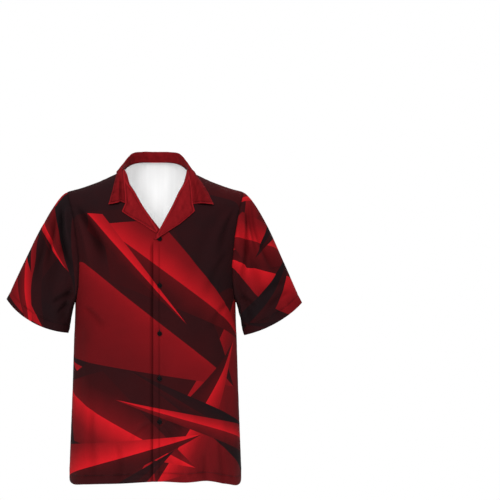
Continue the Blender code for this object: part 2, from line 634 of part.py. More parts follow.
FOLD_BACK = 0.0008      # the lapel starts this far inside the front's folded edge
LEAF_SEAM_LIFT = LAYER + 0.0006
LEAF_EDGE_LIFT = LAYER + 0.0010
LEAF_SWELL = 0.0055     # a point of the collar stands this far off its chord
FOLD_RADIUS = 0.0032    # rounding of the collar's fold


def lapel_grid(upper):
    """Outer points of a lapel: straight ribs from the fold to the edge, swelling off the chest."""
    table = LAPELS[upper]
    places = np.linspace(0, len(table) - 1, 2 * len(table) - 1)
    steps = np.linspace(0, 1, LAPEL_RIBS + 1)[None, :]
    columns = [np.interp(places, np.arange(len(table)), column(table, name))[:, None]
               for name in LapelRow._fields]
    roll_z, edge_x, edge_z, lift = columns
    roll_x = along(roll_z, column(OPENING, "z"), column(OPENING, "upper" if upper else "lower"))
    roll_x = roll_x + FOLD_BACK
    x = roll_x + (edge_x - roll_x) * steps
    z = roll_z + (edge_z - roll_z) * steps
    width = np.hypot(edge_x - roll_x, edge_z - roll_z)
    swell = LAPEL_ROLL_LIFT * np.sin(np.pi * np.sqrt(steps)) * np.minimum(width / 0.04, 1.0)
    rise = LAYER + (lift - LAYER) * steps + swell
    return on_front(x, z, rise, upper)


def make_lapel(upper):
    """The turned-out top of a front, which shows its plain facing."""
    grid = lapel_grid(upper)
    inward = facing(grid)
    inward = inward * np.sign(inward[..., 1:2])
    side = 1 if upper else -1
    mirror = np.array([side, 1, 1])
    name = "lapel_left" if upper else "lapel_right"
    return wall(name, grid * mirror, inward * mirror, cloth_material(name, (0.28, 0.012, 0.014)))


def collar_half(upper):
    """Seam, fold and edge of half the collar, from the back centre to its point."""
    guides = []
    for row in COLLAR_BACK:
        neck_y, neck_z = neck_back(row.seam_x)
        guides.append(np.array([(row.seam_x, neck_y, neck_z + 2 * SEAM), row.roll, row.edge]))
    turn = on_front(*COLLAR_TURN, LEAF_SEAM_LIFT, upper)
    guides.append(np.array([turn, COLLAR_TURN_ROLL, COLLAR_TURN_EDGE]))
    for row in LEAVES[upper]:
        seam = on_front(row.seam_x, row.seam_z, LEAF_SEAM_LIFT, upper)
        edge = on_front(row.edge_x, row.edge_z, LEAF_EDGE_LIFT, upper)
        middle_x = (row.seam_x + row.edge_x) / 2
        middle_z = (row.seam_z + row.edge_z) / 2
        swell = LEAF_EDGE_LIFT + LEAF_SWELL
        guides.append(np.array([seam, on_front(middle_x, middle_z, swell, upper), edge]))
    guides = np.array(guides)
    strides = np.linalg.norm(np.diff(guides, axis=0), axis=2).mean(axis=1)
    steps = np.concatenate([[0], np.cumsum(strides)])
    places = np.linspace(0, steps[-1], COLLAR_STEPS + 1)
    return along(places, steps, guides.reshape(len(guides), 9)).reshape(-1, 3, 3)


def collar_grid():
    """Visible points of the collar: up the stand, over the fold and down to the outer edge.

    Each rib is a cubic curve whose middle lies on the fold's top and whose two inner control
    points are spread apart there, so that the fold is round.
    """
    left = collar_half(True)
    right = collar_half(False) * np.array([-1, 1, 1])
    seam, roll, edge = np.moveaxis(np.concatenate([right[:0:-1], left]), 1, 0)
    knee = (8 * roll - seam - edge) / 6
    width = np.linalg.norm(edge - seam, axis=-1, keepdims=True)
    height = np.linalg.norm(roll - (seam + edge) / 2, axis=-1, keepdims=True)
    speed = np.sqrt(8 * FOLD_RADIUS * height)
    spread = np.maximum((speed / 0.75 - width) / 2, 0.16 * width) * unit(edge - seam)
    share = np.linspace(-1, 1, COLLAR_RIBS + 1)
    share = 0.5 + 0.5 * (0.65 * share + 0.35 * share ** 3)
    t = share[None, :, None]
    first, second = (knee - spread)[:, None], (knee + spread)[:, None]
    return ((1 - t) ** 3 * seam[:, None] + 3 * t * (1 - t) ** 2 * first
            + 3 * t * t * (1 - t) * second + t ** 3 * edge[:, None])


def make_collar():
    """The collar, one folded piece round the neck with a point on each side."""
    grid = collar_grid()
    inward = facing(grid)
    middle = len(grid) // 2
    inward = inward * -np.sign(inward[middle, COLLAR_RIBS // 2, 2])
    return wall("collar", grid, inward, cloth_material("collar", (0.26, 0.012, 0.014)))


# ---------------------------------------------------------------- buttons

def turned(profile, sides, name):
    """A mesh turned round the Y axis from (radius, y) pairs, closed at both ends."""
    work = bmesh.new()
    turns = np.linspace(0, 2 * np.pi, sides, endpoint=False)
    rings = [[work.verts.new((radius * np.cos(turn), y, radius * np.sin(turn))) for turn in turns]
             for radius, y in profile]
    for low, high in zip(rings, rings[1:]):
        for i in range(sides):
            j = (i + 1) % sides
            work.faces.new((low[i], low[j], high[j], high[i]))
    work.faces.new(rings[0])
    work.faces.new(rings[-1])
    bmesh.ops.recalc_face_normals(work, faces=work.faces)
    mesh = bpy.data.meshes.new(name)
    work.to_mesh(mesh)
    work.free()
    return mesh


def button_mesh():
    """A dished button with a rounded rim and four thread holes, its face towards -Y."""
    disc = bpy.data.objects.new("button_blank", turned((
        (BUTTON_RADIUS - 0.0009, 0.0),
        (BUTTON_RADIUS, -0.0008),
        (BUTTON_RADIUS, -BUTTON_THICK + 0.0007),
        (BUTTON_RADIUS - 0.0005, -BUTTON_THICK),
        (BUTTON_RADIUS - BUTTON_RIM, -BUTTON_THICK),
        (BUTTON_RADIUS - BUTTON_RIM - 0.0006, -BUTTON_THICK + BUTTON_DISH),
    ), BUTTON_SIDES, "button_blank"))
    bpy.context.scene.collection.objects.link(disc)
    drills = []
    for across in (-1, 1):
        for up in (-1, 1):
            hole = ((BUTTON_HOLE, 0.001), (BUTTON_HOLE, -BUTTON_THICK - 0.001))
            drill = bpy.data.objects.new("drill", turned(hole, 8, "drill"))
            drill.location = (across * BUTTON_HOLE_OFF, 0.0, up * BUTTON_HOLE_OFF)
            bpy.context.scene.collection.objects.link(drill)
            cut = disc.modifiers.new("thread_hole", "BOOLEAN")
            cut.operation = "DIFFERENCE"
            cut.object = drill
            drills.append(drill)
    bpy.context.view_layer.update()
    finished = disc.evaluated_get(bpy.context.evaluated_depsgraph_get())
    mesh = bpy.data.meshes.new_from_object(finished)
    for thing in drills + [disc]:
        bpy.data.objects.remove(thing, do_unlink=True)
    return mesh


def make_buttons():
    """Five buttons on the upper front, sewn to the lower one through the buttonholes."""
    mesh = button_mesh()
    mesh.name = "button"
    material = bpy.data.materials.new("button_black")
    material.use_nodes = True
    shader = material.node_tree.nodes["Principled BSDF"]
    shader.inputs["Base Color"].default_value = (0.012, 0.012, 0.013, 1.0)
    shader.inputs["Roughness"].default_value = 0.25
    mesh.materials.clear()
    mesh.materials.append(material)
    mesh.shade_smooth()
    mesh.set_sharp_from_angle(angle=np.radians(30))
    for number, z in enumerate(BUTTON_Z, start=1):
        button = bpy.data.objects.new(f"button_{number}", mesh)
        out = chest_normal(BUTTON_X, z)
        button.location = on_front(BUTTON_X, z, SEAM)
        button.rotation_euler = (np.arctan2(-out[2], -out[1]), 0, 0)
        bpy.context.scene.collection.objects.link(button)


# ---------------------------------------------------------------- build

def clear_scene():
    """Removes whatever the file held before."""
    for thing in list(bpy.data.objects):
        bpy.data.objects.remove(thing, do_unlink=True)


clear_scene()
make_front(1, True)
make_front(-1, False)
make_back()
for sleeve_side in (1, -1):
    make_sleeve(sleeve_side)
for on_top in (True, False):
    make_lapel(on_top)
make_collar()
make_buttons()
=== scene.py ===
"""Looks of a short-sleeved bowling shirt: printed polyester, plain red camp collar, five buttons.

The shirt is put together as it is sewn: fronts, back, sleeves, lapels, collar, buttons, stitching.
Metres and degrees; +X is the wearer's left, the front faces -Y, and the origin is the middle of
the neck at the height of the shoulder's high point.
"""

from collections import namedtuple

import bmesh
import bpy
import numpy as np
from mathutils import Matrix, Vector


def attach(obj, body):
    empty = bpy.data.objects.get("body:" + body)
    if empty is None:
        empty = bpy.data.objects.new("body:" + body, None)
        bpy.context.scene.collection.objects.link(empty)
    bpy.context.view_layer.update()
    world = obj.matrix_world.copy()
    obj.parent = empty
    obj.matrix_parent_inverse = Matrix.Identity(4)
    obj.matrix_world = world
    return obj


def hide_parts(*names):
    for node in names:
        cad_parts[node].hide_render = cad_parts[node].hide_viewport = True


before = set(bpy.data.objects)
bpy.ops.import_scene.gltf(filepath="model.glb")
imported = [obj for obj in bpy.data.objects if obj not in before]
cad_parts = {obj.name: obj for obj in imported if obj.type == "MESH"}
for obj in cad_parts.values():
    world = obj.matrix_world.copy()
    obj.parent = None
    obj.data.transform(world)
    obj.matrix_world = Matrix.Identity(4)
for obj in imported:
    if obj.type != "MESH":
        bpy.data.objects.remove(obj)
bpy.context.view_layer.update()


# ================================================================ fronts
# Two panels of light woven polyester, white inside and printed outside before they are cut.
# The wearer's left one laps over the right one and carries the buttonholes; both are sewn to the
# back at the shoulders and sides, and their hem is turned up once and stitched.

LEFT, RIGHT = 1, -1     # the wearer's; the left front is the upper one, the right the lower one
CLOTH = 0.0011          # one layer of cloth
SEAM = 0.0002           # what is left open between two pieces sewn together
LAYER = CLOTH + SEAM    # how far a piece lies over the one below it
NECK_HALF = 0.0765      # high point of the shoulder, from the centre
NECK_Z = -0.006
TIP_HALF = 0.2135       # end of the shoulder seam
TIP_Z = -0.060
SHOULDER_SAG = 0.006
UNDERARM_Z = -0.330
FRONT_ROUND = 0.110     # height over which the shoulder rounds into the chest
BACK_ROUND = 0.100
NECK_BACK_DEPTH = 0.060  # the arch of the back neck seam, and how round it is
NECK_BACK_RISE = 0.0205
NECK_BACK_ROUND = 2.2
NECK_BACK_FLAT = 4.2
SIDE_HEM_Z = -0.747
SQUARENESS = 2.5        # exponent of the torso's rounded section
BREAK_Z = -0.1787       # where the fronts start to turn out into lapels
UNDER_SINK_FROM = 0.045  # the lower front slips under the upper one from here
UNDER_SINK_TO = 0.008    # to here
HEM_TURN = 0.020        # width of the turned-up hem
HEM_DOUBLED = 0.8       # share by which the turned-up hem is thicker than one layer
RIM_BULGE = 0.4         # of a cut edge, in thicknesses of the cloth

Girth = namedtuple("Girth", "z half_width front back")
GIRTHS = (
    Girth(-0.800, 0.2090, 0.130, 0.128),
    Girth(-0.720, 0.2075, 0.127, 0.125),
    Girth(-0.625, 0.2040, 0.123, 0.121),
    Girth(-0.530, 0.2005, 0.120, 0.116),
    Girth(-0.430, 0.1975, 0.121, 0.114),
    Girth(-0.330, 0.1945, 0.125, 0.118),
    Girth(-0.260, 0.1975, 0.126, 0.124),
    Girth(-0.200, 0.2040, 0.120, 0.126),
    Girth(-0.130, 0.2180, 0.106, 0.120),
    Girth(-0.060, 0.2370, 0.090, 0.104),
    Girth(0.020, 0.2500, 0.076, 0.084),
)

Armhole = namedtuple("Armhole", "z front back")
ARMHOLE = (  # how far out the armhole seam lies, on the front and on the back
    Armhole(UNDERARM_Z, 0.1945, 0.1945),
    Armhole(-0.318, 0.1905, 0.1920),
    Armhole(-0.290, 0.1860, 0.1895),
    Armhole(-0.250, 0.1840, 0.1885),
    Armhole(-0.200, 0.1875, 0.1900),
    Armhole(-0.140, 0.1955, 0.1970),
    Armhole(-0.090, 0.2060, 0.2065),
    Armhole(TIP_Z, TIP_HALF, TIP_HALF),
)

Hem = namedtuple("Hem", "angle upper lower back")
HEM = (  # height of the hem on the upper front, the lower front and the back
    Hem(-20, -0.7500, -0.7510, -0.7620),
    Hem(0, -0.7500, -0.7510, -0.7620),
    Hem(15, -0.7535, -0.7545, -0.7620),
    Hem(30, -0.7510, -0.7570, -0.7610),
    Hem(50, -0.7600, -0.7600, -0.7580),
    Hem(70, -0.7665, -0.7625, -0.7540),
    Hem(82, -0.7600, -0.7570, -0.7500),
    Hem(90, SIDE_HEM_Z, SIDE_HEM_Z, SIDE_HEM_Z),
)

FRONT_NAME = {LEFT: "upper", RIGHT: "lower"}
Opening = namedtuple("Opening", "z upper lower")
OPENING = (  # where each front ends or folds, towards its own side
    Opening(BREAK_Z, -0.0052, -0.0244),
    Opening(-0.1551, 0.0095, -0.0095),
    Opening(-0.1280, 0.0240, 0.0112),
    Opening(-0.0980, 0.0403, 0.0319),
    Opening(-0.0650, 0.0557, 0.0503),
    Opening(-0.0400, 0.0690, 0.0650),
    Opening(-0.0194, 0.0744, 0.0705),
    Opening(NECK_Z, NECK_HALF, NECK_HALF),
)

Fold = namedtuple("Fold", "angle_top z_top angle_low z_low width depth")
TORSO_FOLDS = (  # broad troughs; an angle runs from the front centre, 0, past the wearer's left, 90
    Fold(55, -0.085, 24, -0.270, 0.022, 0.0050),
    Fold(-55, -0.085, -28, -0.270, 0.022, 0.0055),
    Fold(70, -0.360, 58, -0.700, 0.028, 0.0040),
    Fold(-66, -0.340, -60, -0.640, 0.026, 0.0035),
    Fold(38, -0.560, 34, -0.800, 0.030, 0.0045),
    Fold(-33, -0.600, -36, -0.800, 0.028, 0.0035),
    Fold(128, -0.110, 150, -0.380, 0.026, 0.0050),
    Fold(-126, -0.110, -152, -0.360, 0.026, 0.0050),
    Fold(138, -0.480, 132, -0.800, 0.032, 0.0050),
    Fold(-146, -0.520, -138, -0.800, 0.032, 0.0045),
)

Crease = namedtuple("Crease", "x_top z_top x_low z_low bow width depth")
FRONT_CREASES = (  # soft troughs, or ridges where depth is negative, as they lie seen from the front
    Crease(-0.208, -0.078, -0.118, -0.245, -0.012, 0.0115, 0.0095),
    Crease(-0.196, -0.110, -0.150, -0.285, -0.008, 0.0088, -0.0026),
    Crease(0.205, -0.085, 0.150, -0.230, 0.010, 0.0106, 0.0043),
    Crease(0.182, -0.200, 0.120, -0.330, 0.012, 0.0106, 0.0026),
    Crease(-0.176, -0.335, -0.120, -0.395, -0.005, 0.0088, 0.0030),
    Crease(0.178, -0.325, 0.130, -0.400, 0.006, 0.0097, 0.0030),
    Crease(-0.006, -0.612, -0.062, -0.662, 0.008, 0.0053, 0.0021),
    Crease(-0.008, -0.604, -0.052, -0.628, 0.005, 0.0044, -0.0015),
    Crease(0.016, -0.600, 0.070, -0.638, -0.007, 0.0053, 0.0020),
    Crease(0.016, -0.614, 0.050, -0.672, -0.006, 0.0053, 0.0015),
    Crease(0.118, -0.680, 0.124, -0.775, 0.003, 0.0070, 0.0030),
    Crease(0.150, -0.640, 0.158, -0.780, -0.004, 0.0088, 0.0033),
    Crease(-0.090, -0.650, -0.082, -0.775, -0.004, 0.0097, 0.0026),
    Crease(-0.150, -0.560, -0.140, -0.770, 0.006, 0.0114, 0.0033),
    Crease(0.060, -0.660, 0.066, -0.770, 0.003, 0.0088, 0.0020),
)

Wave = namedtuple("Wave", "height lean slant pitch_u pitch_v seed")
FRONT_WAVES = (Wave(0.0011, 0.0, 0.3, 0.034, 0.170, 3), Wave(0.0005, 0.0, -0.4, 0.017, 0.080, 5))


def unit(vectors):
    """Vectors scaled to a length of one."""
    return vectors / np.maximum(np.linalg.norm(vectors, axis=-1, keepdims=True), 1e-12)


def ease(share):
    """0 below 0, 1 above 1, and the S curve 3s^2 - 2s^3 between."""
    share = np.clip(share, 0.0, 1.0)
    return share * share * (3.0 - 2.0 * share)


def cubic(share):
    """Weights of a cubic piece: of its start, the slope there, its end and the slope there."""
    square = share * share
    cube = square * share
    return 2 * cube - 3 * square + 1, cube - 2 * square + share, 3 * square - 2 * cube, cube - square


def along(at, keys, values):
    """A smooth curve through a table: cubic pieces whose slopes are the neighbours' average."""
    keys = np.asarray(keys, float)
    values = np.asarray(values, float)
    slopes = np.gradient(values, keys, axis=0)
    at = np.clip(at, keys[0], keys[-1])
    low = np.clip(np.searchsorted(keys, at, side="right") - 1, 0, len(keys) - 2)
    step = keys[low + 1] - keys[low]
    share = (at - keys[low]) / step
    if values.ndim > 1:
        step = step[..., None]
        share = share[..., None]
    start, leave, finish, arrive = cubic(share)
    return (start * values[low] + leave * step * slopes[low]
            + finish * values[low + 1] + arrive * step * slopes[low + 1])


def look_up(table, at, name):
    """A smooth curve through one named column of a table, over the table's first column."""
    return along(at, [row[0] for row in table], [getattr(row, name) for row in table])


def girth(z, name):
    """Half-width or depth of the torso at a height."""
    return look_up(GIRTHS, z, name)


def angle_of(x, z):
    """The angle around the torso, in radians, of a point so far out at a height."""
    share = np.clip(np.abs(x) / girth(z, "half_width"), 0.0, 1.0)
    return np.sign(x) * np.arcsin(share ** (SQUARENESS / 2))


def out_at(angle, z):
    """How far out the torso lies at an angle and a height: a * |sin angle|^(2/n)."""
    return np.sign(angle) * girth(z, "half_width") * np.abs(np.sin(angle)) ** (2 / SQUARENESS)


def shoulder_z(x):
    """Height of the shoulder line: a straight slope with a slight dip in its middle."""
    share = (np.abs(x) - NECK_HALF) / (TIP_HALF - NECK_HALF)
    dip = SHOULDER_SAG * 4 * share * (1 - share) * (share > 0) * (share < 1)
    return NECK_Z + (TIP_Z - NECK_Z) * share - dip


def neck_back(x):
    """Depth and height of the back neck seam, a rounded arch between the shoulders, flat on top."""
    share = np.clip(np.abs(x) / NECK_HALF, 0.0, 1.0)
    arch = np.maximum(1 - share ** NECK_BACK_ROUND, 0.0) ** (1 / NECK_BACK_ROUND)
    return NECK_BACK_DEPTH * arch, NECK_Z + NECK_BACK_RISE * (1 - share ** NECK_BACK_FLAT)


def hump(distance, width):
    """exp(-s^2), s the distance over the width."""
    return np.exp(-(distance / width) ** 2)


TORSO_RADIUS = 0.17     # turns an angle round the torso into a distance
FOLD_ENDS = (0.0, 1.25)  # shares of its length at which a fold begins and ends
FOLD_FADES = (0.25, 0.45)  # and over which it fades in and out


def fold_depth(angle, z):
    """How deep the broad folds press in: exp(-s^2) across lines that slant down the torso."""
    pressed = np.zeros_like(z)
    for fold in TORSO_FOLDS:
        share = (fold.z_top - z) / (fold.z_top - fold.z_low)
        middle = fold.angle_top + (fold.angle_low - fold.angle_top) * np.sqrt(np.clip(share, 0, 1))
        fade = ease((share - FOLD_ENDS[0]) / FOLD_FADES[0]) * ease((FOLD_ENDS[1] - share) / FOLD_FADES[1])
        pressed += fold.depth * hump(np.radians(angle - middle) * TORSO_RADIUS, fold.width) * fade
    return pressed


CREASE_WIDTHS = (0.6, 1.4)  # shares of its width that a crease has at its top and at its foot
CREASE_FADES = (0.22, 0.35)  # shares of its length over which it fades there


def crease_depth(x, z, creases):
    """How deep creases press in: a trough with low banks, (1 - s^2/2) exp(-s^2), across a bowed line.

    s is the distance from the line over its width.
    """
    pressed = np.zeros(np.broadcast(x, z).shape)
    top, foot = CREASE_WIDTHS
    for crease in creases:
        run = np.array([crease.x_low - crease.x_top, crease.z_low - crease.z_top])
        length = np.hypot(*run)
        run = run / length
        share = ((x - crease.x_top) * run[0] + (z - crease.z_top) * run[1]) / length
        bow = crease.bow * 4 * share * (1 - share)
        aside = (x - crease.x_top) * run[1] - (z - crease.z_top) * run[0] - bow
        s = aside / (crease.width * (top + (foot - top) * np.clip(share, 0, 1)))
        fade = ease(share / CREASE_FADES[0]) * ease((1 - share) / CREASE_FADES[1])
        pressed += crease.depth * (1 - 0.5 * s * s) * np.exp(-s * s) * fade
    return pressed


LATTICE = (97, 89)      # points of the lattice behind the uneven waves, before it repeats
LATTICE_MIDDLE = 50.0


def ripple(u, v, pitch_u, pitch_v, seed):
    """Uneven waves between -1 and 1: random heights on a lattice, eased between its points."""
    heights = np.random.default_rng(seed).uniform(-1, 1, LATTICE)
    i, j = np.broadcast_arrays(u / pitch_u + LATTICE_MIDDLE, v / pitch_v + LATTICE_MIDDLE)
    low_i, low_j = np.floor(i).astype(int), np.floor(j).astype(int)
    s, t = ease(i - low_i), ease(j - low_j)
    corner = [heights[(low_i + a) % LATTICE[0], (low_j + b) % LATTICE[1]] for a in (0, 1) for b in (0, 1)]
    return (corner[0] * (1 - t) + corner[1] * t) * (1 - s) + (corner[2] * (1 - t) + corner[3] * t) * s


def torso(angle, z, back, side=LEFT, sink=0.0):
    """Points of the torso at angles and heights, on the front or on the back.

    The section is a rounded rectangle |x/a|^n + |y/b|^n = 1; within FRONT_ROUND or BACK_ROUND
    below the shoulder line its depth closes in on the line as a quarter of an ellipse.
    For the right side it reads that side's folds; the points are mirrored later.
    """
    x = out_at(angle, z)
    full = girth(z, "back" if back else "front") * np.abs(np.cos(angle)) ** (2 / SQUARENESS) - sink
    if back:
        neck_y, neck_z = neck_back(x)
        inside = np.abs(x) < NECK_HALF
        top_z = np.where(inside, neck_z, shoulder_z(x))
        top_y = np.where(inside, neck_y, 0.0) + SEAM / 2
        height = BACK_ROUND
    else:
        top_z = shoulder_z(x)
        top_y = SEAM / 2 + 0.0 * x
        height = FRONT_ROUND
    fall = np.clip((top_z - z) / height, 0.0, 1.0)
    rounding = np.sqrt(1 - (1 - fall) ** 2)
    depth = top_y + (np.maximum(full, top_y) - top_y) * rounding
    sign = 1.0 if back else -1.0
    degrees = np.degrees(angle)
    turned = np.sign(degrees + 1e-9) * (180 - np.abs(degrees)) if back else side * degrees
    pressed = fold_depth(turned, z) * ease(fall * 2)
    depth = depth - pressed * np.abs(np.cos(angle))
    x = x - np.sign(x) * pressed * np.abs(np.sin(angle))
    return np.stack(np.broadcast_arrays(x, sign * depth, z), axis=-1)


def armhole_x(z, name):
    """How far out the armhole or, below it, the side seam lies."""
    return np.where(z > UNDERARM_Z + 1e-6, look_up(ARMHOLE, z, name), girth(z, "half_width"))


FRONT_STILL = 0.4       # share of their depth that the waves keep high up
WAVES_LOW = (-0.35, 0.30)  # they grow to their full depth from this height over this length
CALM_TOP = (0.012, 0.050)  # creases begin this far below the shoulder and grow over this length
CALM_SIDE = 0.022       # and fade over this length towards the armhole and the side seam
CALM_EDGE = (0.012, 0.030)  # waves begin this far from the opening and grow over this length
COLLAR_FOOT = (-0.135, 0.050)  # creases fade under the collar, above this height
COLLAR_REACH = (0.130, 0.030)  # and no further out than this


def waves(u, v, table, seed=0):
    """Uneven waves added up, each along u + lean v and v + slant u."""
    return sum(row.height * ripple(u + row.lean * v, v + row.slant * u, row.pitch_u, row.pitch_v,
                                   row.seed + seed) for row in table)


def stiller(z, least):
    """1 low down, easing to a smaller share higher up."""
    return least + (1 - least) * ease((WAVES_LOW[0] - z) / WAVES_LOW[1])


def off_seams(x, z, top, name):
    """1 inside a torso panel, easing to 0 towards its top edge and its armhole or side seam."""
    return ease((top - CALM_TOP[0] - z) / CALM_TOP[1]) * ease((armhole_x(z, name) - np.abs(x)) / CALM_SIDE)


def front_creases(x, z):
    """How deep creases and soft waves press the fronts in at x and z, seen from the front.

    Both fronts share them, so that they keep their distance where one laps over the other.
    """
    calm = stiller(z, FRONT_STILL) * ease((np.abs(x) - CALM_EDGE[0]) / CALM_EDGE[1])
    soft = waves(x, z, FRONT_WAVES) * calm
    beyond = ease((np.abs(x) - COLLAR_REACH[0]) / COLLAR_REACH[1])
    shown = ease((COLLAR_FOOT[0] - z) / COLLAR_FOOT[1] + beyond)
    return (crease_depth(x, z, FRONT_CREASES) + soft) * off_seams(x, z, shoulder_z(x), "front") * shown


# The depth of these lines also darkens the cloth's colour as painted shade, through shade_of
EDGE_TROUGH = 0.0032    # the lower front dips beside the upper one's edge
TROUGH_X = -0.0070
TROUGH_WIDTH = 0.0034
PLACKET_GROOVE = 0.0009  # the facing's inner edge shows through as a faint line
PLACKET_X = 0.0085
PLACKET_WIDTH = 0.0018
LINES_FADE = 0.03       # both fade in over this length below the lapels


def front_lines(x, z, side):
    """Depth of the lines down the opening: beside the upper front's edge, and along its facing."""
    line = PLACKET_GROOVE * hump(x - PLACKET_X, PLACKET_WIDTH)
    if side == RIGHT:
        line = line + EDGE_TROUGH * hump(x - TROUGH_X, TROUGH_WIDTH)
    return line * ease((BREAK_Z - z) / LINES_FADE)


# Painted shade, taken off the cloth's colour in hollows; ridges are painted lighter
CREASE_SHADE = 0.55     # in a crease 9 mm deep
CREASE_DARKEST = 0.009
RIDGE_GAIN = 0.4        # a ridge gains up to this share of it
LINE_SHADE = 0.45       # in a sharp line, such as a seam, 1.2 mm deep
LINE_DARKEST = 0.0012


def shade_of(creases, lines):
    """Painted shade: the share of its colour that a hollow loses, up to that of the deepest crease and
    line.
    """
    return (CREASE_SHADE * np.clip(creases / CREASE_DARKEST, -RIDGE_GAIN, 1.0)
            + LINE_SHADE * np.clip(lines / LINE_DARKEST, 0.0, 1.0))


def sunk(x, side):
    """How far the lower front lies behind the upper one: a smooth step near the overlap."""
    if side == LEFT:
        return 0.0 * x
    return (LAYER + SEAM) * ease((UNDER_SINK_FROM - x) / (UNDER_SINK_FROM - UNDER_SINK_TO))


FRONT_COLUMNS = 84
SHOULDER_ROWS = 46
SHOULDER_TURN = 84      # degrees of the shoulder's rounding that these rows cover
BREAK_ROWS = 16
ARMHOLE_ROWS = 52
BODY_ROWS = 130
EVEN_ROWS = 0.6         # share by which rows lie evenly above the underarm; the rest crowds them there
HEM_CROWDED = 0.75      # how much closer rows lie at the hem
HEM_POWER = 6           # and how late they start to
OUTER_POWER = 4         # how near its edge a panel's columns start to follow the armhole
WIDENED = 0.55          # share of the length at which the columns have spread to the full width
ENDS_CLOSE = 0.7        # how much closer columns lie at their ends
SHOULDER_FADE = 6       # powers with which the dip of the shoulder and the shape of the hem
HEM_FADE = 8            # fade out over the length


def share_rows():
    """Rows of a torso panel, as shares from shoulder to hem, and the number of the underarm's row."""
    length = TIP_Z - SIDE_HEM_Z
    turn = np.radians(np.linspace(0, SHOULDER_TURN, SHOULDER_ROWS))
    rounding = (1 - np.cos(turn)) * FRONT_ROUND / length
    at_break = (NECK_Z - BREAK_Z) / (NECK_Z - HEM[1].upper)
    at_underarm = (TIP_Z - UNDERARM_Z) / length
    steps = np.linspace(0, 1, ARMHOLE_ROWS + 1)[1:]
    toward_underarm = EVEN_ROWS * steps + (1 - EVEN_ROWS) * np.sin(steps * np.pi / 2)
    below = np.linspace(0, 1, BODY_ROWS + 1)[1:]
    below = below + HEM_CROWDED * np.sin(np.pi * below) * below ** HEM_POWER / np.pi
    rows = [rounding, np.linspace(rounding[-1], at_break, BREAK_ROWS + 1)[1:],
            at_break + (at_underarm - at_break) * toward_underarm,
            at_underarm + (1 - at_underarm) * below]
    return np.concatenate(rows), SHOULDER_ROWS + BREAK_ROWS + ARMHOLE_ROWS - 1


ROWS, UNDERARM_ROW = share_rows()


def side_angles(outer, steps):
    """Angles of a panel's columns: evenly widening ones, and the outer ones following the armhole."""
    even = outer[0] + (np.pi / 2 - outer[0]) * ease(ROWS[:, None] / WIDENED)
    return even * steps + (outer - even) * steps ** OUTER_POWER


def close_ends(count):
    """Shares from 0 to 1 that lie closer together towards both ends: t - k sin(2 pi t) / (2 pi)."""
    steps = np.linspace(0, 1, count + 1)
    return steps - ENDS_CLOSE * np.sin(2 * np.pi * steps) / (2 * np.pi)


def front_grid(side):
    """Outer points of a front, as rows from shoulder to hem and columns from opening to side."""
    name = FRONT_NAME[side]
    rows = ROWS[:, None]
    steps = close_ends(FRONT_COLUMNS)[None, :]
    hem_z = look_up(HEM, np.array([0.0, 90.0]), name)
    inner_z = NECK_Z + (hem_z[0] - NECK_Z) * rows
    outer_z = TIP_Z + (hem_z[1] - TIP_Z) * rows
    inner_x = look_up(OPENING, inner_z, name)
    outer_x = armhole_x(outer_z, "front")
    angle = angle_of(inner_x, inner_z) * (1 - steps) + side_angles(angle_of(outer_x, outer_z), steps)
    z = inner_z + (outer_z - inner_z) * steps
    x = out_at(angle, z)
    share = (x - inner_x) / (outer_x - inner_x)
    straight = NECK_Z + (TIP_Z - NECK_Z) * (np.abs(x) - NECK_HALF) / (TIP_HALF - NECK_HALF)
    z = inner_z + (outer_z - inner_z) * share + (shoulder_z(x) - straight) * (1 - rows) ** SHOULDER_FADE
    level = hem_z[0] + (hem_z[1] - hem_z[0]) * share
    z = z + (look_up(HEM, np.degrees(angle), name) - level) * rows ** HEM_FADE
    angle = angle_of(x, z)
    angle[:, -1] = np.where(ROWS >= ROWS[UNDERARM_ROW] - 1e-9, np.pi / 2, angle[:, -1])
    return torso(angle, z, False, side, sunk(x, side))


def facing(grid, ring=False):
    """Unit normals of a grid of points, from its neighbours' differences."""
    down = np.gradient(grid, axis=0)
    if ring:
        across = (np.roll(grid, -1, axis=1) - np.roll(grid, 1, axis=1)) / 2
    else:
        across = np.gradient(grid, axis=1)
    return unit(np.cross(down, across))


def outward_from(grid, centre):
    """Unit normals of an open panel, all on the side of its middle that lies away from a point."""
    normal = facing(grid)
    middle = grid.shape[0] // 2, grid.shape[1] // 2
    return normal * np.sign((normal[middle] * (grid[middle] - centre)).sum())


def relaxed(grid, times):
    """A grid whose inner points have moved towards the mean of their four neighbours."""
    grid = grid.copy()
    for _ in range(times):
        mean = (grid[:-2, 1:-1] + grid[2:, 1:-1] + grid[1:-1, :-2] + grid[1:-1, 2:]) / 4
        grid[1:-1, 1:-1] = (grid[1:-1, 1:-1] + mean) / 2
    return grid


def lengths(grid, axis):
    """Length along a grid's lines from their first point, for each point."""
    strides = np.linalg.norm(np.diff(grid, axis=axis), axis=-1)
    start = np.zeros_like(np.take(strides, [0], axis=axis))
    return np.concatenate([start, np.cumsum(strides, axis=axis)], axis=axis)


def closed(grid, axis=1):
    """A grid with its first column, or row, once more at its end."""
    return np.concatenate([grid, np.take(grid, [0], axis=axis)], axis=axis)


def mirrored(points, side):
    """Points or directions worked out for the wearer's left, carried over to a side."""
    return points * np.array([side, 1, 1])


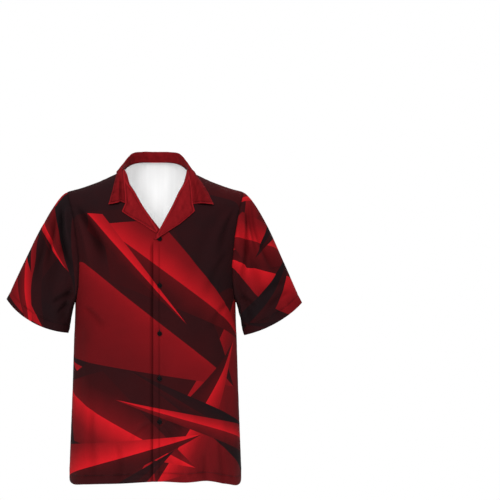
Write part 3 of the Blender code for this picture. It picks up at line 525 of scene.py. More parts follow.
def hem_rows(grid, first):
    """The same panel with one row laid exactly along the raw edge of its turned-up hem.

    Below the row numbered first, points slide along their columns; the lengths between that
    row, the raw edge and the hem are scaled to fit.
    """
    down = lengths(grid, 0)
    raw = np.argmin(np.abs((down[-1:] - down).mean(axis=1) - HEM_TURN))
    at_raw = down[-1] - HEM_TURN
    above = down[first] + (down - down[first]) * (at_raw - down[first]) / (down[raw] - down[first])
    below = at_raw + (down - down[raw]) * HEM_TURN / (down[-1] - down[raw])
    number = np.arange(len(grid))[:, None]
    wanted = np.where(number < first, down, np.where(number < raw, above, below))
    apart = 10.0 * np.arange(grid.shape[1])  # keeps the columns apart in one rising list
    slid = [np.interp((wanted + apart).T, (down + apart).T.ravel(), grid[..., part].T.ravel()).T
            for part in range(3)]
    return np.stack(slid, axis=-1)


SEAM_DIP = 0.0009       # the cloth dips into a seam
SEAM_WIDTH = 0.003
SEAM_PUCKER = 0.00045   # and puckers square to it
SEAM_PUCKER_REACH = 0.009
SEAM_PUCKER_SIZE = (0.0075, 0.05)
HEM_GROOVE = 0.0005     # and the same at the stitches of a hem
HEM_WIDTH = 0.0022
HEM_PUCKER = 0.0006
HEM_PUCKER_REACH = 0.008
HEM_PUCKER_SIZE = (0.011, 0.06)


def seam_relief(along_seam, from_seam, seed):
    """Depth of a sewn edge: a narrow dip at the seam, and puckers that fade as exp(-d/reach)."""
    puckers = SEAM_PUCKER * np.exp(-from_seam / SEAM_PUCKER_REACH)
    return (SEAM_DIP * hump(from_seam, SEAM_WIDTH)
            + puckers * ripple(along_seam, from_seam, *SEAM_PUCKER_SIZE, seed))


def stitched_hem(along_hem, from_hem, seed):
    """Depth of a turned-up and stitched hem: a groove at the stitches, puckers on both sides of it."""
    aside = from_hem - HEM_TURN
    puckers = HEM_PUCKER * np.exp(-np.abs(aside) / HEM_PUCKER_REACH)
    return (HEM_GROOVE * hump(aside, HEM_WIDTH)
            + puckers * ripple(along_hem, aside, *HEM_PUCKER_SIZE, seed))


def placed(name, data):
    """A new object in the scene, at the origin, from a mesh, a light or a camera."""
    thing = bpy.data.objects.new(name, data)
    bpy.context.scene.collection.objects.link(thing)
    return thing


def face_outwards(mesh):
    """Turns a closed mesh's faces outwards."""
    work = bmesh.new()
    work.from_mesh(mesh)
    bmesh.ops.recalc_face_normals(work, faces=work.faces)
    work.to_mesh(mesh)
    work.free()


def new_mesh(name, points, quads, flat=None, finishes=None, materials=(), shade=None):
    """A smooth mesh of four-sided faces, turned outwards, with its flat coordinates in metres.

    Flat holds u and v for each corner of each face, and shade a value of painted shade for each point.
    """
    mesh = bpy.data.meshes.new(name)
    mesh.vertices.add(len(points))
    mesh.vertices.foreach_set("co", points.astype(np.float32).ravel())
    mesh.loops.add(quads.size)
    mesh.loops.foreach_set("vertex_index", quads.ravel().astype(np.int32))
    mesh.polygons.add(len(quads))
    mesh.polygons.foreach_set("loop_start", np.arange(0, quads.size, 4, dtype=np.int32))
    for material in materials:
        mesh.materials.append(material)
    if flat is not None:
        mesh.polygons.foreach_set("material_index", finishes.astype(np.int32))
        mesh.uv_layers.new(name="flat")
        mesh.uv_layers["flat"].data.foreach_set("uv", flat.astype(np.float32).ravel())
        shades = mesh.attributes.new("shade", "FLOAT", "POINT")
        shades.data.foreach_set("value", shade.astype(np.float32))
    mesh.update(calc_edges=True)
    mesh.validate()
    face_outwards(mesh)
    mesh.shade_smooth()
    return placed(name, mesh)


def patches(index):
    """Four-sided faces between the neighbours in a grid of point numbers."""
    corners = [index[..., :-1, :-1], index[..., :-1, 1:], index[..., 1:, 1:], index[..., 1:, :-1]]
    return np.stack(corners, -1).reshape(-1, 4)


def rims(outer, inner, inward, index, ring):
    """Each closed line of points along a panel's edge, with the way that its rim bulges at each.

    A tube has two, which bulge on along its walls. Any other panel has one all round, which
    bulges square to the edge and to the thickness.
    """
    if ring:
        return (index[0], unit(outer[0] - outer[1])), (index[-1], unit(outer[-1] - outer[-2]))
    loop = np.concatenate([index[0, :-1], index[:-1, -1], index[-1, :0:-1], index[:0:-1, 0]])
    middle = ((outer + inner) / 2).reshape(-1, 3)[loop]
    tangent = np.roll(middle, -1, axis=0) - np.roll(middle, 1, axis=0)
    away = unit(np.cross(tangent, inward.reshape(-1, 3)[loop]))
    centre = outer[len(outer) // 2, outer.shape[1] // 2]
    return (loop, away * np.sign(((middle - centre) * away).sum())),


def cloth_wall(name, outer, inward, flat, materials, shade, thick, printed_inside, side=LEFT, ring=False):
    """A closed wall of cloth: outer points, the same moved inwards, and a rounded rim between them.

    Printed_inside marks the inner points that show the printed side, where the cloth is turned in.
    """
    outer, inward = mirrored(outer, side), mirrored(inward, side)
    rows, columns = outer.shape[:2]
    thick = np.broadcast_to(thick, (rows, columns))
    inner = outer + thick[..., None] * inward
    count = rows * columns
    index = np.arange(count).reshape(rows, columns)
    skin = patches(closed(index) if ring else index)
    if ring:
        flat = np.concatenate([flat, 2 * flat[:, -1:] - flat[:, -2:-1]], axis=1)
    flat_index = np.arange(flat.shape[0] * flat.shape[1]).reshape(flat.shape[:2])
    skin_flat = flat.reshape(-1, 2)[patches(flat_index)]
    inside = np.where(printed_inside.ravel()[skin].mean(axis=1) > 0.5, 0, 1)
    shade = np.broadcast_to(shade, (rows, columns)).ravel()
    points = [outer.reshape(-1, 3), inner.reshape(-1, 3)]
    quads = [skin, skin[:, ::-1] + count]
    flats = [skin_flat, skin_flat[:, ::-1]]
    finishes = [np.zeros(len(skin)), inside]
    shades = [shade, 0 * shade]
    flat_points = flat[:, :columns].reshape(-1, 2)
    middle = ((outer + inner) / 2).reshape(-1, 3)
    total = 2 * count
    for loop, away in rims(outer, inner, inward, index, ring):
        ridge = np.arange(len(loop)) + total
        total += len(loop)
        points.append(middle[loop] + away * RIM_BULGE * thick.ravel()[loop][:, None])
        shades.append(shade[loop])
        corners = flat_points[loop]
        beside = np.roll(corners, -1, axis=0)
        if ring:
            beside[-1] = beside[-2]
        for low, high in ((loop, ridge), (ridge, loop + count)):
            quads.append(np.stack([low, np.roll(low, -1), np.roll(high, -1), high], 1))
            flats.append(np.stack([corners, beside, beside, corners], 1))
            finishes.append(np.zeros(len(loop)))
    return new_mesh(name, *(np.concatenate(part) for part in (points, quads, flats, finishes)),
                    materials, np.concatenate(shades))


class Socket:
    """A shader socket. An expression such as 1 - mask * 0.5 adds the Math nodes that work it out."""

    def __init__(self, tree, output=None):
        self.tree = tree
        self.output = output

    def node(self, kind, settings=None, inputs=None, output=0):
        """Any other node: its type, its settings, and the values or links of its sockets."""
        made = self.tree.nodes.new(kind)
        for name, value in (settings or {}).items():
            if name == "stops":
                ramp = made.color_ramp
                while len(ramp.elements) < len(value):
                    ramp.elements.new(0.5)
                for element, (place, color) in zip(ramp.elements, value):
                    element.position = place
                    element.color = (*color, 1.0)
            else:
                setattr(made, name, value)
        for name, value in (inputs or {}).items():
            if isinstance(value, Socket):
                self.tree.links.new(value.output, made.inputs[name])
            else:
                made.inputs[name].default_value = value
        return Socket(self.tree, made.outputs[output])

    def math(self, operation, *values, clip=False):
        """One Math node on this socket and further values."""
        inputs = dict(enumerate((self, *values)))
        return self.node("ShaderNodeMath", {"operation": operation, "use_clamp": clip}, inputs)

    def __add__(self, other):
        return self.math("ADD", other)

    __radd__ = __add__

    def __sub__(self, other):
        return self.math("SUBTRACT", other)

    def __rsub__(self, other):
        return self.math("MULTIPLY_ADD", -1.0, other)

    def __mul__(self, other):
        return self.math("MULTIPLY", other)

    __rmul__ = __mul__


def principled(name, settings, flat=True):
    """A new material, a socket with the place on the flat cloth or in space, and its shader."""
    material = bpy.data.materials.new(name)
    material.use_nodes = True
    shader = material.node_tree.nodes["Principled BSDF"]
    for socket, value in settings.items():
        shader.inputs[socket].default_value = value
    start = Socket(material.node_tree)
    if flat:
        return material, start.node("ShaderNodeUVMap", {"uv_map": "flat"}), shader
    return material, start.node("ShaderNodeTexCoord", {}, {}, "Object"), shader


def feed(shader, name, socket):
    """Links a socket to one of a shader's inputs."""
    socket.tree.links.new(socket.output, shader.inputs[name])


def stretched(place, factors):
    """A place with each of its coordinates multiplied."""
    return place.node("ShaderNodeVectorMath", {"operation": "MULTIPLY"}, {0: place, 1: factors})


def clouds(place, scale, detail):
    """Noise around 0.5, with so many clouds to a metre."""
    return place.node("ShaderNodeTexNoise", {}, {"Vector": place, "Scale": scale, "Detail": detail})


def ramp(value, *stops):
    """A value turned into a colour by stops, each a place and its colour."""
    return value.node("ShaderNodeValToRGB", {"stops": stops}, {0: value})


POLYESTER = {"Roughness": 0.60, "Sheen Weight": 0.01, "Sheen Roughness": 0.5, "Specular IOR Level": 0.055}
NEAR_BLACK = (0.0110, 0.0065, 0.0075)
MAROON = (0.0420, 0.0050, 0.0060)
DEEP_RED = (0.1900, 0.0062, 0.0090)
BRIGHT_RED = (0.6200, 0.0100, 0.0160)
PRINT_STOPS = ((0.0, NEAR_BLACK), (0.22, MAROON), (0.55, DEEP_RED), (1.0, BRIGHT_RED))
LINEN_WHITE = (0.84, 0.84, 0.84)
PAPER_WHITE = (0.91, 0.91, 0.91)
INSIDE_STOPS = ((0.3, LINEN_WHITE), (0.7, PAPER_WHITE))
INSIDE_SLUBS = (60.0, 4.0, 0.0)  # long slubs down the warp, so many to a metre across and down
WHITE_LIGHT = (1.0, 1.0, 1.0, 1.0)
WEAVE_PITCH = 0.0009
WEAVE_HEIGHT = 0.0002
WEAVE_STRENGTH = 0.14
SLUBS = 260.0           # uneven places in the threads, to a metre
CLOUDS = 6.0            # broad clouds, to a metre
CLOUD_HEAT = 0.14       # how much they warm the near-black
BLOTCHES = 16.0         # smaller ones
BLOTCH_HEAT = 0.10      # and how much they warm the whole print
EDGE_SHARPNESS = 1500.0  # a printed edge is one part in so many of a metre wide

DartKind = namedtuple("DartKind", "count spread length low high reach shade")
DART_KINDS = (  # ranges from which each dart's own sizes are drawn, the broad ones first
    DartKind(4, (40, 64), (0.60, 0.95), (0.22, 0.42), (0.55, 0.80), (0.16, 0.28), (0.15, 0.50)),
    DartKind(4, (22, 36), (0.38, 0.62), (0.20, 0.50), (0.75, 1.00), (0.08, 0.15), (0.20, 0.55)),
    DartKind(3, (14, 24), (0.40, 0.70), (0.00, 0.08), (0.10, 0.30), (0.05, 0.10), (0.00, 0.50)),
    DartKind(2, (9, 14), (0.30, 0.50), (0.45, 0.60), (0.90, 1.00), (0.04, 0.07), (0.30, 0.60)),
)
DART_TAIL = 1.1         # how fast a dart's back edges slant from its spine's end

Dart = namedtuple("Dart", "u v heading spread length low high reach shade lit")


def darts(seed, width, height, scale=1.0):
    """Folded darts scattered over a panel: each flies in from one side at 12 to 64 degrees."""
    draw = np.random.default_rng(seed)
    made = []
    for kind in DART_KINDS:
        for _ in range(kind.count):
            side = draw.choice((-1, 1))
            u = side * draw.uniform(0.05, 0.60) * width
            v = -draw.uniform(-0.02, 0.98) * height
            heading = (180 if side > 0 else 0) + draw.choice((-1, 1)) * draw.uniform(12, 64)
            spread, length, low, high, reach, shade = (draw.uniform(*limits) for limits in kind[1:])
            made.append(Dart(u, v, heading, spread, length * scale, low, high, reach * scale, shade,
                             draw.choice((-1, 1))))
    return made


def print_heat(place, scattered):
    """How red the print is, from 0, near-black, to 1, bright, as darts laid one over another.

    A dart is a wedge of two straight sides and a slanting tail. Its heat falls from high to low
    with the distance from its spine, as a parabola, and one half is shaded as if it was folded.
    """
    level = place.node("ShaderNodeVectorMath", {"operation": "ADD"}, {0: place, 1: (0.0, 0.0, 1.0)})

    def distance(across, point):
        """Distance from the line through a point, on the side that a direction points to."""
        weights = (*(float(part) for part in across), float(-np.dot(across, point)))
        return level.node("ShaderNodeVectorMath", {"operation": "DOT_PRODUCT"},
                          {0: level, 1: weights}, "Value")

    heat = clouds(place, CLOUDS, 1.0).math("MULTIPLY_ADD", CLOUD_HEAT, 0.0)
    for dart in scattered:
        tip = np.array([dart.u, dart.v])
        ahead = np.radians(dart.heading)
        first = ahead + np.radians(dart.spread / 2)
        second = ahead - np.radians(dart.spread / 2)
        forward = np.array([np.cos(ahead), np.sin(ahead)])
        one = distance(np.array([np.sin(first), -np.cos(first)]), tip)
        other = distance(np.array([-np.sin(second), np.cos(second)]), tip)
        spine = distance(np.array([-forward[1], forward[0]]), tip)
        aside = spine.math("ABSOLUTE")
        tail = aside.math("MULTIPLY_ADD", -DART_TAIL, distance(-forward, tip + dart.length * forward))
        inside = one.math("MINIMUM", other).math("MINIMUM", tail)
        mask = inside.math("MULTIPLY", EDGE_SHARPNESS, clip=True)
        glow = aside.math("MULTIPLY_ADD", -1 / dart.reach, 1.0, clip=True)
        own = (glow * glow).math("MULTIPLY_ADD", dart.high - dart.low, dart.low)
        half = spine.math("MULTIPLY", EDGE_SHARPNESS * dart.lit, clip=True)
        own = own * half.math("MULTIPLY_ADD", 1 - dart.shade, dart.shade)
        heat = (own - heat).math("MULTIPLY_ADD", mask, heat)
    return heat


def shaded(color):
    """A colour times 1 - shade, the attribute of painted shade that darkens the hollows of the cloth."""
    shade = color.node("ShaderNodeAttribute", {"attribute_name": "shade"}, {}, "Fac")
    return color.node("ShaderNodeVectorMath", {"operation": "SCALE"}, {0: color, "Scale": 1 - shade})


def weave_bump(place, shader, strength=WEAVE_STRENGTH):
    """Plain weave: the product of two waves one thread apart, as a shallow bump."""
    turn = 2 * np.pi / WEAVE_PITCH
    parts = stretched(place, (turn, turn, 0.0))
    u = parts.node("ShaderNodeSeparateXYZ", {}, {0: parts})
    v = parts.node("ShaderNodeSeparateXYZ", {}, {0: parts}, 1)
    height = u.math("SINE") * v.math("SINE") * 0.5 + clouds(place, SLUBS, 2.0)
    feed(shader, "Normal", height.node("ShaderNodeBump", {}, {
        "Strength": strength, "Distance": WEAVE_HEIGHT, "Height": height}))


def printed_cloth(name, scattered):
    """Polyester printed with darts of red on near-black, matt, with a faint weave, darkened by painted
    shade.
    """
    material, place, shader = principled(name, POLYESTER)
    heat = print_heat(place, scattered) + (clouds(place, BLOTCHES, 2.0) - 0.5) * BLOTCH_HEAT
    feed(shader, "Base Color", shaded(ramp(heat, *PRINT_STOPS)))
    weave_bump(place, shader)
    return material


def white_inside():
    """The unprinted side of the cloth: off-white, matt, faintly slubbed down the warp, with a faint glow of
    painted light.
    """
    # the emission is painted light that brightens the inside
    material, place, shader = principled("cloth_white_inside", {
        **POLYESTER, "Roughness": 0.8, "Emission Color": WHITE_LIGHT, "Emission Strength": 0.08})
    slub = clouds(stretched(place, INSIDE_SLUBS), 1.0, 3.0)
    feed(shader, "Base Color", ramp(slub, *INSIDE_STOPS))
    weave_bump(place, shader)
    return material


WHITE_INSIDE = white_inside()
FRONT_PRINT = printed_cloth("cloth_print_front", darts(2403, 0.60, 0.77))
SLEEVE_LEAVES = (0.90, -0.22, -0.44)  # the way a sleeve leaves its armhole: out, forward, down
TORSO_MIDDLE = (0.0, 0.0, -0.4)
SMOOTHED = 6            # times that a torso panel's points are evened out
STITCHES_START = (0.004, 0.020)  # the hem's relief grows from the opening's edge over this length
THICK_FROM = (0.001, 0.003)  # the turned-up cloth thickens from past its raw edge over this length
RAW_EDGE = 0.0003       # of the turned-up cloth, still seen on the inside
ALLOWANCE = 5           # columns of a seam's turned-in edge


def square_to_sleeve(inward, side):
    """Turns the wall's thickness square to the sleeve at the shoulder, and less further down."""
    leave = unit(np.array([side * SLEEVE_LEAVES[0], 0.0, SLEEVE_LEAVES[2]]))
    share = np.sqrt(1 - np.linspace(0, 1, len(inward)))[:, None]
    return unit(inward - share * (inward @ leave)[:, None] * leave)


def pressed_in(grid, depth, edges, seam_y):
    """A torso panel with its depth pressed in, and the inward directions of its cloth.

    The shoulder and side seams keep their place front to back, and below the arm the panel ends
    at seam_y. Along the armhole the thickness turns square to the sleeve.
    """
    shoulder = np.abs(grid[0, :, 0]) > NECK_HALF - 1e-4

    def level(normal):
        """The directions, with none front to back along shoulder and side seams."""
        normal[0, shoulder, 1] = 0.0
        normal[UNDERARM_ROW:, edges, 1] = 0.0
        return normal

    grid = grid - unit(level(outward_from(grid, TORSO_MIDDLE))) * depth[..., None]
    inward = level(-outward_from(grid, TORSO_MIDDLE))
    for edge in edges:
        side = LEFT if edge else RIGHT
        inward[UNDERARM_ROW:, edge, 0] = -side * np.abs(inward[UNDERARM_ROW:, edge, 0])
        inward[:UNDERARM_ROW, edge] = square_to_sleeve(inward[:UNDERARM_ROW, edge], side)
        grid[UNDERARM_ROW:, edge, 1] = seam_y
    return grid, unit(inward)


def front_surface(side):
    """A front with its creases, sewn edges and stitched hem.

    Returns its points, their inward directions, two lengths along the cloth and its shade.
    """
    grid = hem_rows(relaxed(front_grid(side), SMOOTHED), UNDERARM_ROW)
    across = lengths(grid, 1)
    down = lengths(grid, 0)
    x, z = grid[..., 0], grid[..., 2]
    creases = front_creases(x * side, z)
    lines = front_lines(x * side, z, side) + seam_relief(z, across[:, -1:] - across, 11)
    lines = lines + seam_relief(x, down, 13)
    fade = ease((across - STITCHES_START[0]) / STITCHES_START[1])
    lines = lines + stitched_hem(across, down[-1:] - down, 31) * fade
    grid, inward = pressed_in(grid, creases + lines, (-1,), -SEAM / 2)
    return grid, inward, across, down, shade_of(creases, lines)


def hem_thickness(from_hem):
    """Thickness of the cloth, which is nearly doubled where its hem is turned up."""
    return CLOTH * (1 + HEM_DOUBLED * ease((HEM_TURN + THICK_FROM[0] - from_hem) / THICK_FROM[1]))


def turned_in(from_hem, columns):
    """Inner points that show the printed side: the turned-up hem and the seam allowances."""
    printed = from_hem < HEM_TURN + RAW_EDGE
    printed[:, columns] = True
    return printed


def below_underarm(grid, down):
    """Height on the flat cloth: length up the cloth from the hem, set by the underarm's height."""
    return grid[UNDERARM_ROW, :, 2] + down[UNDERARM_ROW] - down


def make_front(name, side):
    """A front as a wall of cloth, thicker where its hem is turned up; printed there on its inside."""
    grid, inward, across, down, shade = front_surface(side)
    from_hem = down[-1:] - down
    flat = np.stack([side * (grid[:, :1, 0] + across), below_underarm(grid, down)], -1)
    return cloth_wall(name, grid, inward, flat, (FRONT_PRINT, WHITE_INSIDE), shade,
                      hem_thickness(from_hem), turned_in(from_hem, np.arange(-ALLOWANCE, 0)), side)


Cut = namedtuple("Cut", "node width length area rests_on")  # what shows of a piece, laid flat
FRONT_CUTS = {
    RIGHT: Cut("front_right", 0.306, 0.826, 0.195, ("back",)),
    LEFT: Cut("front_left", 0.290, 0.820, 0.181, ("shirt_front_right",)),
}
for side, cut in FRONT_CUTS.items():
    panel = make_front(f"shirt_{cut.node}", side)
    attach(panel, "root")
    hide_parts(cut.node)


# ================================================================ back
# One panel of the same printed polyester from side seam to side seam, with no yoke and no pleat.
# It is sewn to the fronts at the shoulders and sides and to the collar's stand at the neck; its
# white side shows through the open neck.

NECK_COLUMNS = 50
BACK_WAVES = (Wave(0.0012, 0.0, 0.25, 0.038, 0.180, 7), Wave(0.0005, 0.0, -0.4, 0.018, 0.090, 9))
BACK_STILL = 0.45       # share of their depth that the waves keep high up
BACK_COLUMNS = 63       # along each shoulder
BACK_CROWDED = 1.35     # power that draws them together at the sides
NECK_SMOOTH = 0.008     # the shoulder seams fade out over this length at the neck

BACK_CREASES = (  # seen from the front, so that x is positive on the wearer's left
    Crease(0.206, -0.080, 0.128, -0.250, 0.012, 0.0106, 0.0059),
    Crease(-0.205, -0.084, -0.135, -0.262, -0.011, 0.0106, 0.0056),
    Crease(0.176, -0.180, 0.163, -0.360, 0.004, 0.0088, 0.0036),
    Crease(-0.178, -0.170, -0.166, -0.350, -0.004, 0.0088, 0.0040),
    Crease(0.150, -0.380, 0.128, -0.640, 0.008, 0.0123, 0.0040),
    Crease(-0.146, -0.400, -0.135, -0.690, -0.007, 0.0123, 0.0040),
    Crease(0.052, -0.480, 0.060, -0.775, 0.004, 0.0141, 0.0036),
    Crease(-0.060, -0.520, -0.052, -0.775, -0.005, 0.0132, 0.0033),
    Crease(0.000, -0.070, 0.004, -0.300, 0.003, 0.0158, 0.0020),
)


def back_grid():
    """Outer points of the back, as rows from shoulder to hem, columns from right side to left."""
    rows = ROWS[:, None]
    neck_angle = angle_of(np.array(NECK_HALF), np.array(NECK_Z))
    tip_angle = angle_of(np.array(TIP_HALF), np.array(TIP_Z))
    outward = 1 - (1 - np.linspace(0, 1, BACK_COLUMNS + 1)) ** BACK_CROWDED
    shoulder = neck_angle + (tip_angle - neck_angle) * outward
    neck = np.linspace(-neck_angle, neck_angle, NECK_COLUMNS + 1)[1:-1]
    top_angle = np.concatenate([-shoulder[::-1], neck, shoulder])[None, :]
    steps = np.clip((np.abs(top_angle) - neck_angle) / (tip_angle - neck_angle), 0, 1)
    hem_z = look_up(HEM, np.array([0.0, 90.0]), "back")
    outer_z = TIP_Z + (hem_z[1] - TIP_Z) * rows
    outer_angle = angle_of(armhole_x(outer_z, "back"), outer_z)
    angle = np.sign(top_angle) * side_angles(outer_angle, np.abs(top_angle) / tip_angle)
    top_x = out_at(top_angle, NECK_Z + (TIP_Z - NECK_Z) * steps)
    top_z = np.where(np.abs(top_x) < NECK_HALF - 1e-9, neck_back(top_x)[1], shoulder_z(top_x))
    low_z = hem_z[0] + (hem_z[1] - hem_z[0]) * np.abs(np.sin(angle)) ** (2 / SQUARENESS)
    z = top_z + (low_z - top_z) * rows
    z = z + (look_up(HEM, np.abs(np.degrees(angle)), "back") - low_z) * rows ** HEM_FADE
    x = out_at(angle, z)
    x[0] = top_x[0]
    z[0] = top_z[0]
    angle = angle_of(x, z)
    below = ROWS >= ROWS[UNDERARM_ROW] - 1e-9
    angle[:, 0] = np.where(below, -np.pi / 2, angle[:, 0])
    angle[:, -1] = np.where(below, np.pi / 2, angle[:, -1])
    return torso(angle, z, True)


def back_relief(x, z):
    """How deep creases and soft waves press the back in, fading towards its seams."""
    top = np.where(np.abs(x) < NECK_HALF, neck_back(x)[1], shoulder_z(x))
    pressed = crease_depth(x, z, BACK_CREASES) + waves(x, z, BACK_WAVES) * stiller(z, BACK_STILL)
    return pressed * off_seams(x, z, top, "back")


def back_surface():
    """The back with its creases, sewn edges and stitched hem, given as a front is."""
    grid = hem_rows(relaxed(back_grid(), SMOOTHED), UNDERARM_ROW)
    across = lengths(grid, 1)
    down = lengths(grid, 0)
    x, z = grid[..., 0], grid[..., 2]
    creases = back_relief(x, z)
    shoulder = ease((np.abs(x) - NECK_HALF + NECK_SMOOTH) / NECK_SMOOTH)
    lines = seam_relief(z, np.minimum(across, across[:, -1:] - across), 11)
    lines = lines + seam_relief(np.abs(x), down, 13) * shoulder
    lines = lines + stitched_hem(across, down[-1:] - down, 47)
    grid, inward = pressed_in(grid, creases + lines, (0, -1), SEAM / 2)
    return grid, inward, across, down, shade_of(creases, lines)


BACK_PRINT = printed_cloth("cloth_print_back", darts(1627, 0.60, 0.77))


def make_back():
    """The back as a wall of cloth, thicker where its hem is turned up."""
    grid, inward, across, down, shade = back_surface()
    from_hem = down[-1:] - down
    middle = grid.shape[1] // 2
    flat = np.stack([across - across[:, middle:middle + 1], below_underarm(grid, down)], -1)
    return cloth_wall("shirt_back", grid, inward, flat, (BACK_PRINT, WHITE_INSIDE), shade,
                      hem_thickness(from_hem), turned_in(from_hem, np.arange(-ALLOWANCE, ALLOWANCE)))


back = make_back()
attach(back, "root")
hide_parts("back")


# ================================================================ sleeves
# Two short set-in sleeves of the printed polyester, each sewn round the armhole and closed by a
# seam under the arm. Their cloth hangs from the shoulder in soft folds that run down and inwards.

SLEEVE_HEM_DEPTH = 0.050    # half of the sleeve hem, front to back
SLEEVE_LEAN = 0.004         # the sleeve hem hangs this far forward
SLEEVE_TUCK = 0.0006        # the sleeve's edge goes this far under the body's
SLEEVE_SINK = 0.0004
SLEEVE_PULL_TOP = 0.150
SLEEVE_PULL_UNDER = 0.035
SLEEVE_PUSH_TOP = 0.210
SLEEVE_PUSH_UNDER = 0.050
SLEEVE_ROWS = 84
SLEEVE_FLAT_LOW = 0.33      # places the sleeve's hem in its print
SLEEVE_FADES = (0.2, 0.3)   # shares of the length over which a fold fades in and out
SLEEVE_CALM_SIDE = 0.020    # creases fade over this length towards the middle of the sleeve's depth
SLEEVE_CALM_TOP = 0.016     # and over this length at the armhole
SLEEVE_RELIEF_START = 0.004
SLEEVE_SMOOTHED = 3
SLEEVE_FOLD_SHADE = 0.5     # share of a broad fold's depth that counts for its shade
SLEEVE_ALLOWANCE = 6        # rows of the armhole's turned-in edge
SLEEVE_WAVES = (Wave(0.0010, 0.0, 0.0, 0.030, 0.110, 51), Wave(0.0004, 0.3, 0.0, 0.014, 0.070, 55))

Sleeve = namedtuple("Sleeve", "outer_x outer_z inner_x inner_z front_drop back_drop")
SLEEVES = {  # the sleeve hem's outer and inner ends, and its droop between them
    LEFT: Sleeve(0.3560, -0.3290, 0.2150, -0.4080, 0.010, 0.006),
    RIGHT: Sleeve(0.3600, -0.3200, 0.2105, -0.4020, 0.017, 0.006),
}

SleeveFold = namedtuple("SleeveFold", "turn_top turn_low start end width depth")
SLEEVE_FOLDS = (  # turn: 0 at the shoulder, 90 in front, 180 under the arm
    SleeveFold(38, 44, 0.02, 0.80, 13, 0.0065),
    SleeveFold(62, 96, 0.02, 0.75, 12, 0.0060),
    SleeveFold(128, 138, 0.10, 0.95, 13, 0.0050),
    SleeveFold(-46, -58, 0.04, 0.85, 14, 0.0060),
    SleeveFold(-84, -112, 0.05, 0.75, 13, 0.0055),
)

SLEEVE_CREASES = {  # on the front of each sleeve, as they lie seen from the front, x outwards
    RIGHT: (
        Crease(0.228, -0.088, 0.190, -0.262, -0.018, 0.0070, 0.0089),
        Crease(0.240, -0.098, 0.262, -0.262, -0.004, 0.0079, 0.0066),
        Crease(0.214, -0.092, 0.200, -0.205, -0.008, 0.0053, -0.0049),
        Crease(0.262, -0.140, 0.292, -0.300, -0.006, 0.0088, 0.0035),
        Crease(0.250, -0.330, 0.186, -0.305, 0.004, 0.0079, 0.0066),
        Crease(0.236, -0.355, 0.200, -0.330, 0.002, 0.0062, 0.0041),
    ),
    LEFT: (
        Crease(0.232, -0.078, 0.290, -0.262, 0.010, 0.0062, 0.0045),
        Crease(0.226, -0.084, 0.252, -0.240, 0.004, 0.0053, 0.0041),
        Crease(0.220, -0.090, 0.200, -0.300, -0.010, 0.0062, 0.0066),
        Crease(0.236, -0.100, 0.270, -0.230, 0.002, 0.0044, -0.0027),
        Crease(0.330, -0.300, 0.262, -0.350, 0.006, 0.0070, 0.0041),
        Crease(0.322, -0.278, 0.240, -0.318, 0.008, 0.0079, 0.0034),
        Crease(0.244, -0.340, 0.190, -0.312, 0.003, 0.0070, 0.0045),
    ),
}
SLEEVE_BACK_CREASES = (  # on the back of both sleeves
    Crease(0.230, -0.086, 0.200, -0.270, -0.014, 0.0079, 0.0076),
    Crease(0.244, -0.100, 0.268, -0.280, -0.004, 0.0088, 0.0062),
    Crease(0.246, -0.325, 0.196, -0.305, 0.004, 0.0079, 0.0049),
    Crease(0.280, -0.180, 0.305, -0.320, -0.004, 0.0088, 0.0034),
)


def armhole_loop(side):
    """The armhole seam, from the shoulder down the front, under the arm and up the back."""
    front = front_surface(side)[0][: UNDERARM_ROW + 1, -1]
    behind = mirrored(back_surface()[0][UNDERARM_ROW - 1:0:-1, -1 if side == LEFT else 0], side)
    front[(0, -1), 1] = 0.0
    return np.concatenate([front, behind])


def around(loop):
    """The turn of each point of an armhole, by its length along the front and along the back."""
    so_far = lengths(closed(loop, 0), 0)
    low = UNDERARM_ROW
    front = 180 * so_far[: low + 1] / so_far[low]
    behind = 180 + 180 * (so_far[low + 1:-1] - so_far[low]) / (so_far[-1] - so_far[low])
    return np.concatenate([front, behind])


def sleeve_grid(side):
    """Outer points of a sleeve: cubic curves from the armhole to a drooping oval hem."""
    cut = SLEEVES[side]
    loop = armhole_loop(side)
    turn = np.radians(around(loop))[None, :, None]
    down = close_ends(SLEEVE_ROWS)[:, None, None]
    outer = np.array([cut.outer_x, 0.0, cut.outer_z])
    inner = np.array([cut.inner_x, 0.0, cut.inner_z])
    half = (outer - inner) / 2
    axis = unit(np.array([half[2], 0.0, -half[0]]))
    droop = np.where(np.sin(turn) > 0, cut.front_drop, cut.back_drop) * np.sin(turn) ** 2
    hem = (outer + inner) / 2 + np.cos(turn) * half + axis * droop
    hem = hem + np.array([0.0, -1.0, 0.0]) * (SLEEVE_HEM_DEPTH * np.sin(turn) + SLEEVE_LEAN)
    height = (1 + np.cos(turn)) / 2
    swing = np.concatenate([np.ones_like(turn), np.sin(turn), np.ones_like(turn)], axis=-1)
    leave = unit(swing * SLEEVE_LEAVES)
    start = loop[None] - leave * SLEEVE_TUCK
    pull = leave * (SLEEVE_PULL_UNDER + (SLEEVE_PULL_TOP - SLEEVE_PULL_UNDER) * height)
    push = axis * (SLEEVE_PUSH_UNDER + (SLEEVE_PUSH_TOP - SLEEVE_PUSH_UNDER) * height)
    weights = cubic(down)
    grid = weights[0] * start + weights[1] * pull + weights[2] * hem + weights[3] * push
    return grid, np.degrees(turn[0, :, 0]), down[:, 0, 0], leave[0]


def sleeve_depth(turn, down):
    """How deep the broad folds press in: exp(-s^2) across lines that run down the sleeve."""
    turn = np.where(turn > 180, turn - 360, turn)[None, :]
    down = down[:, None]
    pressed = np.zeros((down.shape[0], turn.shape[1]))
    for fold in SLEEVE_FOLDS:
        middle = fold.turn_top + (fold.turn_low - fold.turn_top) * down
        fade = ease((down - fold.start) / SLEEVE_FADES[0]) * ease((fold.end - down) / SLEEVE_FADES[1])
        pressed += fold.depth * hump(turn - middle, fold.width) * fade
    return pressed


